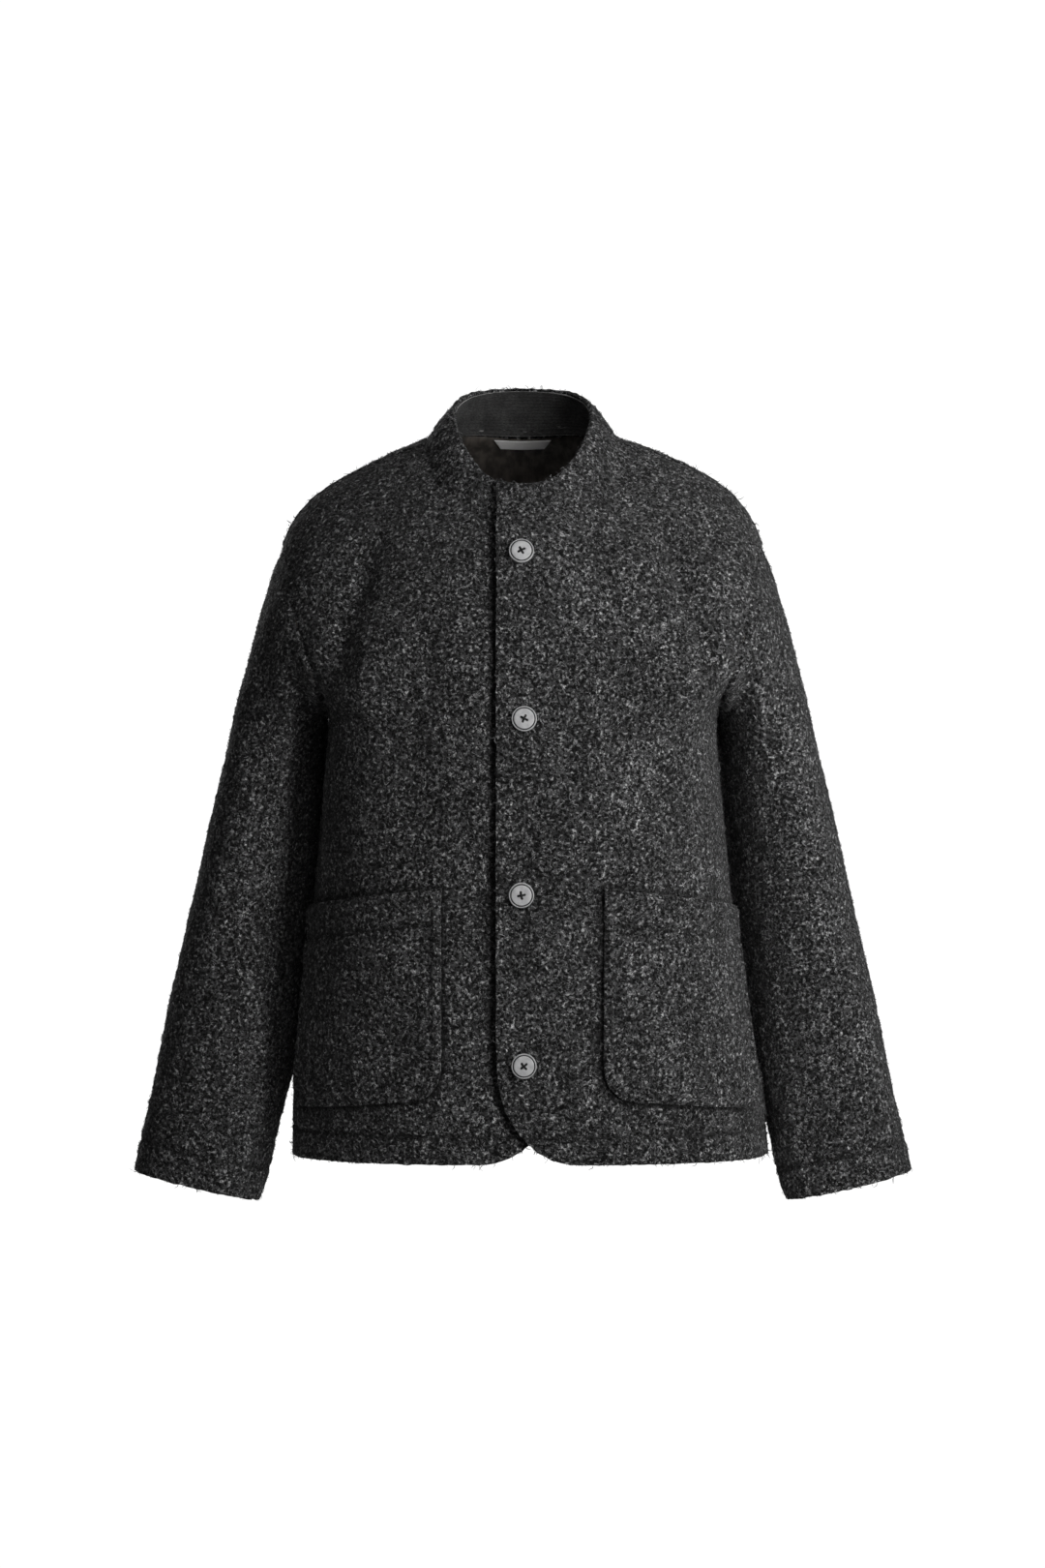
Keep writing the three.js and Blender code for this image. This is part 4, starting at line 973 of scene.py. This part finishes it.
def tube_between(made, points, radius, sides=6):
    """A thin round thread through a few points, closed at both ends."""
    rings = []
    for i, point in enumerate(points):
        ahead = points[min(i + 1, len(points) - 1)] - points[max(i - 1, 0)]
        turn = Vector((0, 0, 1)).rotation_difference(ahead.normalized())
        size = radius if 0 < i < len(points) - 1 else 0.6 * radius
        ring = []
        for k in range(sides):
            angle = 2 * math.pi * k / sides
            spoke = Vector((math.cos(angle), math.sin(angle), 0)) * size
            ring.append(made.verts.new(point + turn @ spoke))
        rings.append(ring)
    for low, high in zip(rings[:-1], rings[1:]):
        for k in range(sides):
            made.faces.new((low[k], low[(k + 1) % sides], high[(k + 1) % sides], high[k]))
    made.faces.new(list(reversed(rings[0])))
    made.faces.new(rings[-1])


def run_of_hits(tree, middle, ways, reach=0.5):
    """Where rays towards a middle meet the outer face of a piece, for a row of ways out from it."""
    hits = []
    for way in ways:
        hit, normal, _, _ = tree.ray_cast(middle + way * reach, -way, reach)
        if hit is not None and normal.dot(way) > 0.05:
            hits.append((hit, normal))
    return hits


def near_seam(points, seam, reach):
    """Which points lie within reach of a seam, and how far off they are."""
    places = np.array([place for place, _ in seam])
    low, high = places.min(axis=0) - reach, places.max(axis=0) + reach
    inside = np.flatnonzero(np.all((points >= low) & (points <= high), axis=1))
    distance = distance_to(points[inside], places)
    close = distance < reach
    return inside[close], distance[close]


def pull_seam(mesh, seam):
    """Draws the cloth in along its seam, as the thread does."""
    if not seam:
        return
    points = points_of(mesh)
    close, distance = near_seam(points, seam, STITCH_REACH)
    depth = STITCH_PULL * 0.5 * (1 + np.cos(np.pi * distance / STITCH_REACH))
    points[close] -= normals_of(mesh)[close] * depth[:, None]
    set_points(mesh, points)


def stitches_along(name, hits, material):
    """Separate stitches along a run of places, sunk into the cloth where the thread draws it in."""
    made = bmesh.new()
    travelled = 0.0
    for (start, start_normal), (end, end_normal) in zip(hits[:-1], hits[1:]):
        step = (end - start).length
        if step > 3 * STITCH_PITCH:
            continue
        travelled += step
        if travelled < STITCH_PITCH:
            continue
        travelled = 0.0
        along = (end - start).normalized() * STITCH_LENGTH / 2
        out = (start_normal + end_normal).normalized()
        place = end - out * STITCH_PULL
        dip = out * STITCH_RADIUS
        ends = [place - along - dip, place - along * 0.5, place + along * 0.5, place + along - dip]
        tube_between(made, ends, STITCH_RADIUS)
    mesh = finished(made, name)
    mesh.shade_smooth()
    mesh.materials.append(material)
    return add_object(name, mesh)


def ways_round(first, second, start, end, count):
    """Unit ways that turn from one angle to another, in the plane of two unit vectors."""
    angles = np.radians(np.linspace(start, end, count))
    return [first * math.cos(a) + second * math.sin(a) for a in angles]


def hem_seams(cloths):
    """Places and outward ways along the hem's seam on each body piece."""
    seams = {}
    spans = {"front_left": (-100, 5), "front_right": (-190, -70), "back": (-5, 185)}
    for node, (start, end) in spans.items():
        ways = ways_round(Vector((1, 0, 0)), Vector((0, 1, 0)), start, end, HEM_WAYS)
        middle = Vector((FRONT_LAP_MIDDLE, 0, HEM_STITCH_HEIGHT))
        seams[node] = run_of_hits(tree_of(cloths[node].data), middle, ways)
    return seams


def cuff_seams(cloths):
    seams = {}
    out_x, out_z = CUFF_STITCH["out"]
    in_x, in_z = CUFF_STITCH["inside"]
    for side, node in ((1, "sleeve_left"), (-1, "sleeve_right")):
        middle = Vector((side * (out_x + in_x) / 2, 0, (out_z + in_z) / 2))
        outward = Vector((side * (out_x - in_x), 0, out_z - in_z)).normalized()
        ways = ways_round(outward, Vector((0, 1, 0)), 0, 360, CUFF_WAYS)
        seams[node] = run_of_hits(tree_of(cloths[node].data), middle, ways, 0.1)
    return seams


def pocket_seams(cloths):
    seams = {}
    for side, node in ((1, "pocket_left"), (-1, "pocket_right")):
        tree = tree_of(cloths[node].data)
        hits = []
        for way in ways_round(Vector((0, -1, 0)), Vector((side, 0, 0)), 25, 85, POCKET_WAYS):
            top = None
            for step in range(POCKET_SEARCH_STEPS):
                height = POCKET_SEARCH_TOP - step * MM
                if run_of_hits(tree, Vector((0, 0, height)), [way]):
                    top = height
                    break
            if top is not None:
                hits += run_of_hits(tree, Vector((0, 0, top - POCKET_STITCH_DROP)), [way])
        seams[node] = hits
    return seams


BUTTON_PROFILE = (
    (0.0, 0.0), (0.88, 0.0), (0.96, 0.25), (1.0, 0.9), (1.0, 2.9), (0.988, 3.35), (0.96, 3.6), (0.93, 3.6),
    (0.905, 3.35), (0.89, 2.5), (0.85, 2.4), (0.825, 2.6), (0.815, 3.5), (0.79, 3.9), (0.74, 4.1),
    (0.45, 4.05), (0.0, 3.75),
)


def lathe(profile, radius, sides):
    """A turned solid about the Y axis."""
    made = bmesh.new()
    outline = [made.verts.new((share * radius, height * MM, 0)) for share, height in profile]
    edges = [made.edges.new(pair) for pair in zip(outline[:-1], outline[1:])]
    bmesh.ops.spin(
        made, geom=outline + edges, cent=(0, 0, 0), axis=(0, 1, 0), angle=2 * math.pi, steps=sides,
        use_merge=True, use_duplicate=False,
    )
    bmesh.ops.remove_doubles(made, verts=made.verts, dist=1e-6)
    bmesh.ops.recalc_face_normals(made, faces=made.faces)
    return finished(made, "turned")


def button_mesh():
    """The turned button with its four holes cut through."""
    disc = bpy.data.objects.new("disc", lathe(BUTTON_PROFILE, BUTTON_RADIUS, 72))
    bpy.context.collection.objects.link(disc)
    cutters = bmesh.new()
    for i in range(4):
        angle = math.pi / 2 * i
        place = Vector((BUTTON_HOLE_RING * math.cos(angle), 0, BUTTON_HOLE_RING * math.sin(angle)))
        turn = Matrix.Rotation(math.pi / 2, 4, "X")
        bmesh.ops.create_cone(
            cutters, cap_ends=True, segments=20, radius1=BUTTON_HOLE_RADIUS, radius2=BUTTON_HOLE_RADIUS,
            depth=14 * MM, matrix=Matrix.Translation(place) @ turn,
        )
    holes = bpy.data.objects.new("holes", finished(cutters, "holes"))
    bpy.context.collection.objects.link(holes)
    cut = disc.modifiers.new("holes", "BOOLEAN")
    cut.operation = "DIFFERENCE"
    cut.solver = "EXACT"
    cut.object = holes
    mesh = bpy.data.meshes.new_from_object(disc.evaluated_get(bpy.context.evaluated_depsgraph_get()))
    bpy.data.objects.remove(disc)
    bpy.data.objects.remove(holes)
    mesh.shade_smooth()
    mesh.set_sharp_from_angle(angle=math.radians(38))
    return mesh


def sunk_faces(mesh):
    """Which faces of the button at the origin lie in its groove, its holes or under its rim, and so get the
    painted shade.
    """
    centres, _ = face_values(mesh)
    reach = np.hypot(centres[:, 0], centres[:, 2]) / BUTTON_RADIUS
    height = centres[:, 1]
    groove = (reach > GROOVE_REACH[0]) & (reach < GROOVE_REACH[1]) & (height > GROOVE_FLOOR)
    holes = (reach < HOLES_REACH) & (height < HOLES_TOP)
    return (groove | holes).astype(np.int32)


def button_place(node, turn):
    """The place and turn of a CAD button, from its own points: its back's middle and its axis."""
    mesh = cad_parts[node].data
    points = points_of(mesh)
    middle = points.mean(axis=0)
    axis = np.linalg.eigh(np.cov((points - middle).T))[1][:, 0]
    if axis[1] > 0:
        axis = -axis
    height = (points - middle) @ axis
    back = Vector(middle + axis * height.min())
    facing = Vector((0, 1, 0)).rotation_difference(Vector(axis))
    spin = Quaternion((0, 1, 0), math.radians(turn))
    return Matrix.Translation(back) @ (facing @ spin).to_matrix().to_4x4()


def thread_cross(place, material, name):
    """Two strands across each pair of holes, and down into them."""
    made = bmesh.new()
    for i in range(2):
        angle = math.pi / 2 * i
        along = Vector((math.cos(angle), 0, math.sin(angle)))
        aside = Vector((-math.sin(angle), 0, math.cos(angle)))
        for offset in (-STRAND_OFFSET, STRAND_OFFSET):
            side = aside * offset
            bend = []
            top = 4.55 + 0.5 * i
            heights = (1.2, 3.6, 4.25, top, 4.25, 3.6, 1.2)
            for reach, height in zip((-1.0, -0.98, -0.6, 0.0, 0.6, 0.98, 1.0), heights):
                rise = Vector((0, height * MM, 0))
                bend.append(along * reach * BUTTON_HOLE_RING + side + rise)
            tube_between(made, bend, THREAD_RADIUS, 8)
    made.transform(place)
    mesh = finished(made, name)
    mesh.shade_smooth()
    mesh.materials.append(material)
    return add_object(name, mesh)


def dress_buttons(materials):
    template = button_mesh()
    sunk = sunk_faces(template)
    for i, turn in enumerate(BUTTON_TURNS):
        node = f"button_{i + 1}"
        place = button_place(node, turn)
        mesh = template.copy()
        mesh.transform(place)
        mesh.materials.append(materials["button"])
        # The groove and the holes are near black: painted shade.
        mesh.materials.append(materials["groove"])
        mesh.polygons.foreach_set("material_index", sunk)
        button = add_object(f"{node}_turned", mesh)
        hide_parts(node)
        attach(button, "root")
        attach(thread_cross(place, materials["thread"], f"{node}_thread"), "root")


def declare(node, piece, with_pieces=()):
    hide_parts(node)
    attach(piece, "root")
    for other in with_pieces:
        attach(other, "root")


def main():
    make_camera()
    make_world()
    make_lights()
    make_floor()
    materials = {
        "wool": wool_material(boucle_group()),
        "fibre": fibre_material(),
        "lining": lining_material(),
        "ribbing": ribbing_material(),
        "label": label_material(),
        "button": button_material(),
        "groove": groove_shade_material(),
        "thread": thread_material(),
    }
    cloths = {}
    for node in ("front_left", "front_right", "back", "sleeve_left", "sleeve_right"):
        cloths[node] = wool_cloth(node, materials, lined=True)
    for node in ("collar", "pocket_left", "pocket_right"):
        cloths[node] = wool_cloth(node, materials, lined=False)
    seams = {**hem_seams(cloths), **cuff_seams(cloths), **pocket_seams(cloths)}
    on_cloth = {}
    for i, (node, piece) in enumerate(cloths.items()):
        seam = seams.get(node, [])
        pull_seam(piece.data, seam)
        keep_painted_shade(node, piece.data, seam)
        on_cloth[node] = [grow_fuzz(piece, 11 + i, materials["fibre"], seam)]
        if seam:
            on_cloth[node].append(stitches_along(f"{node}_stitches", seam, materials["thread"]))
    for node, piece in cloths.items():
        declare(node, piece, with_pieces=on_cloth[node])
    declare("collar_facing", facing_cloth(materials))
    declare("lining", lining_cloth(materials))
    declare("label", label_cloth(materials))
    dress_buttons(materials)


main()
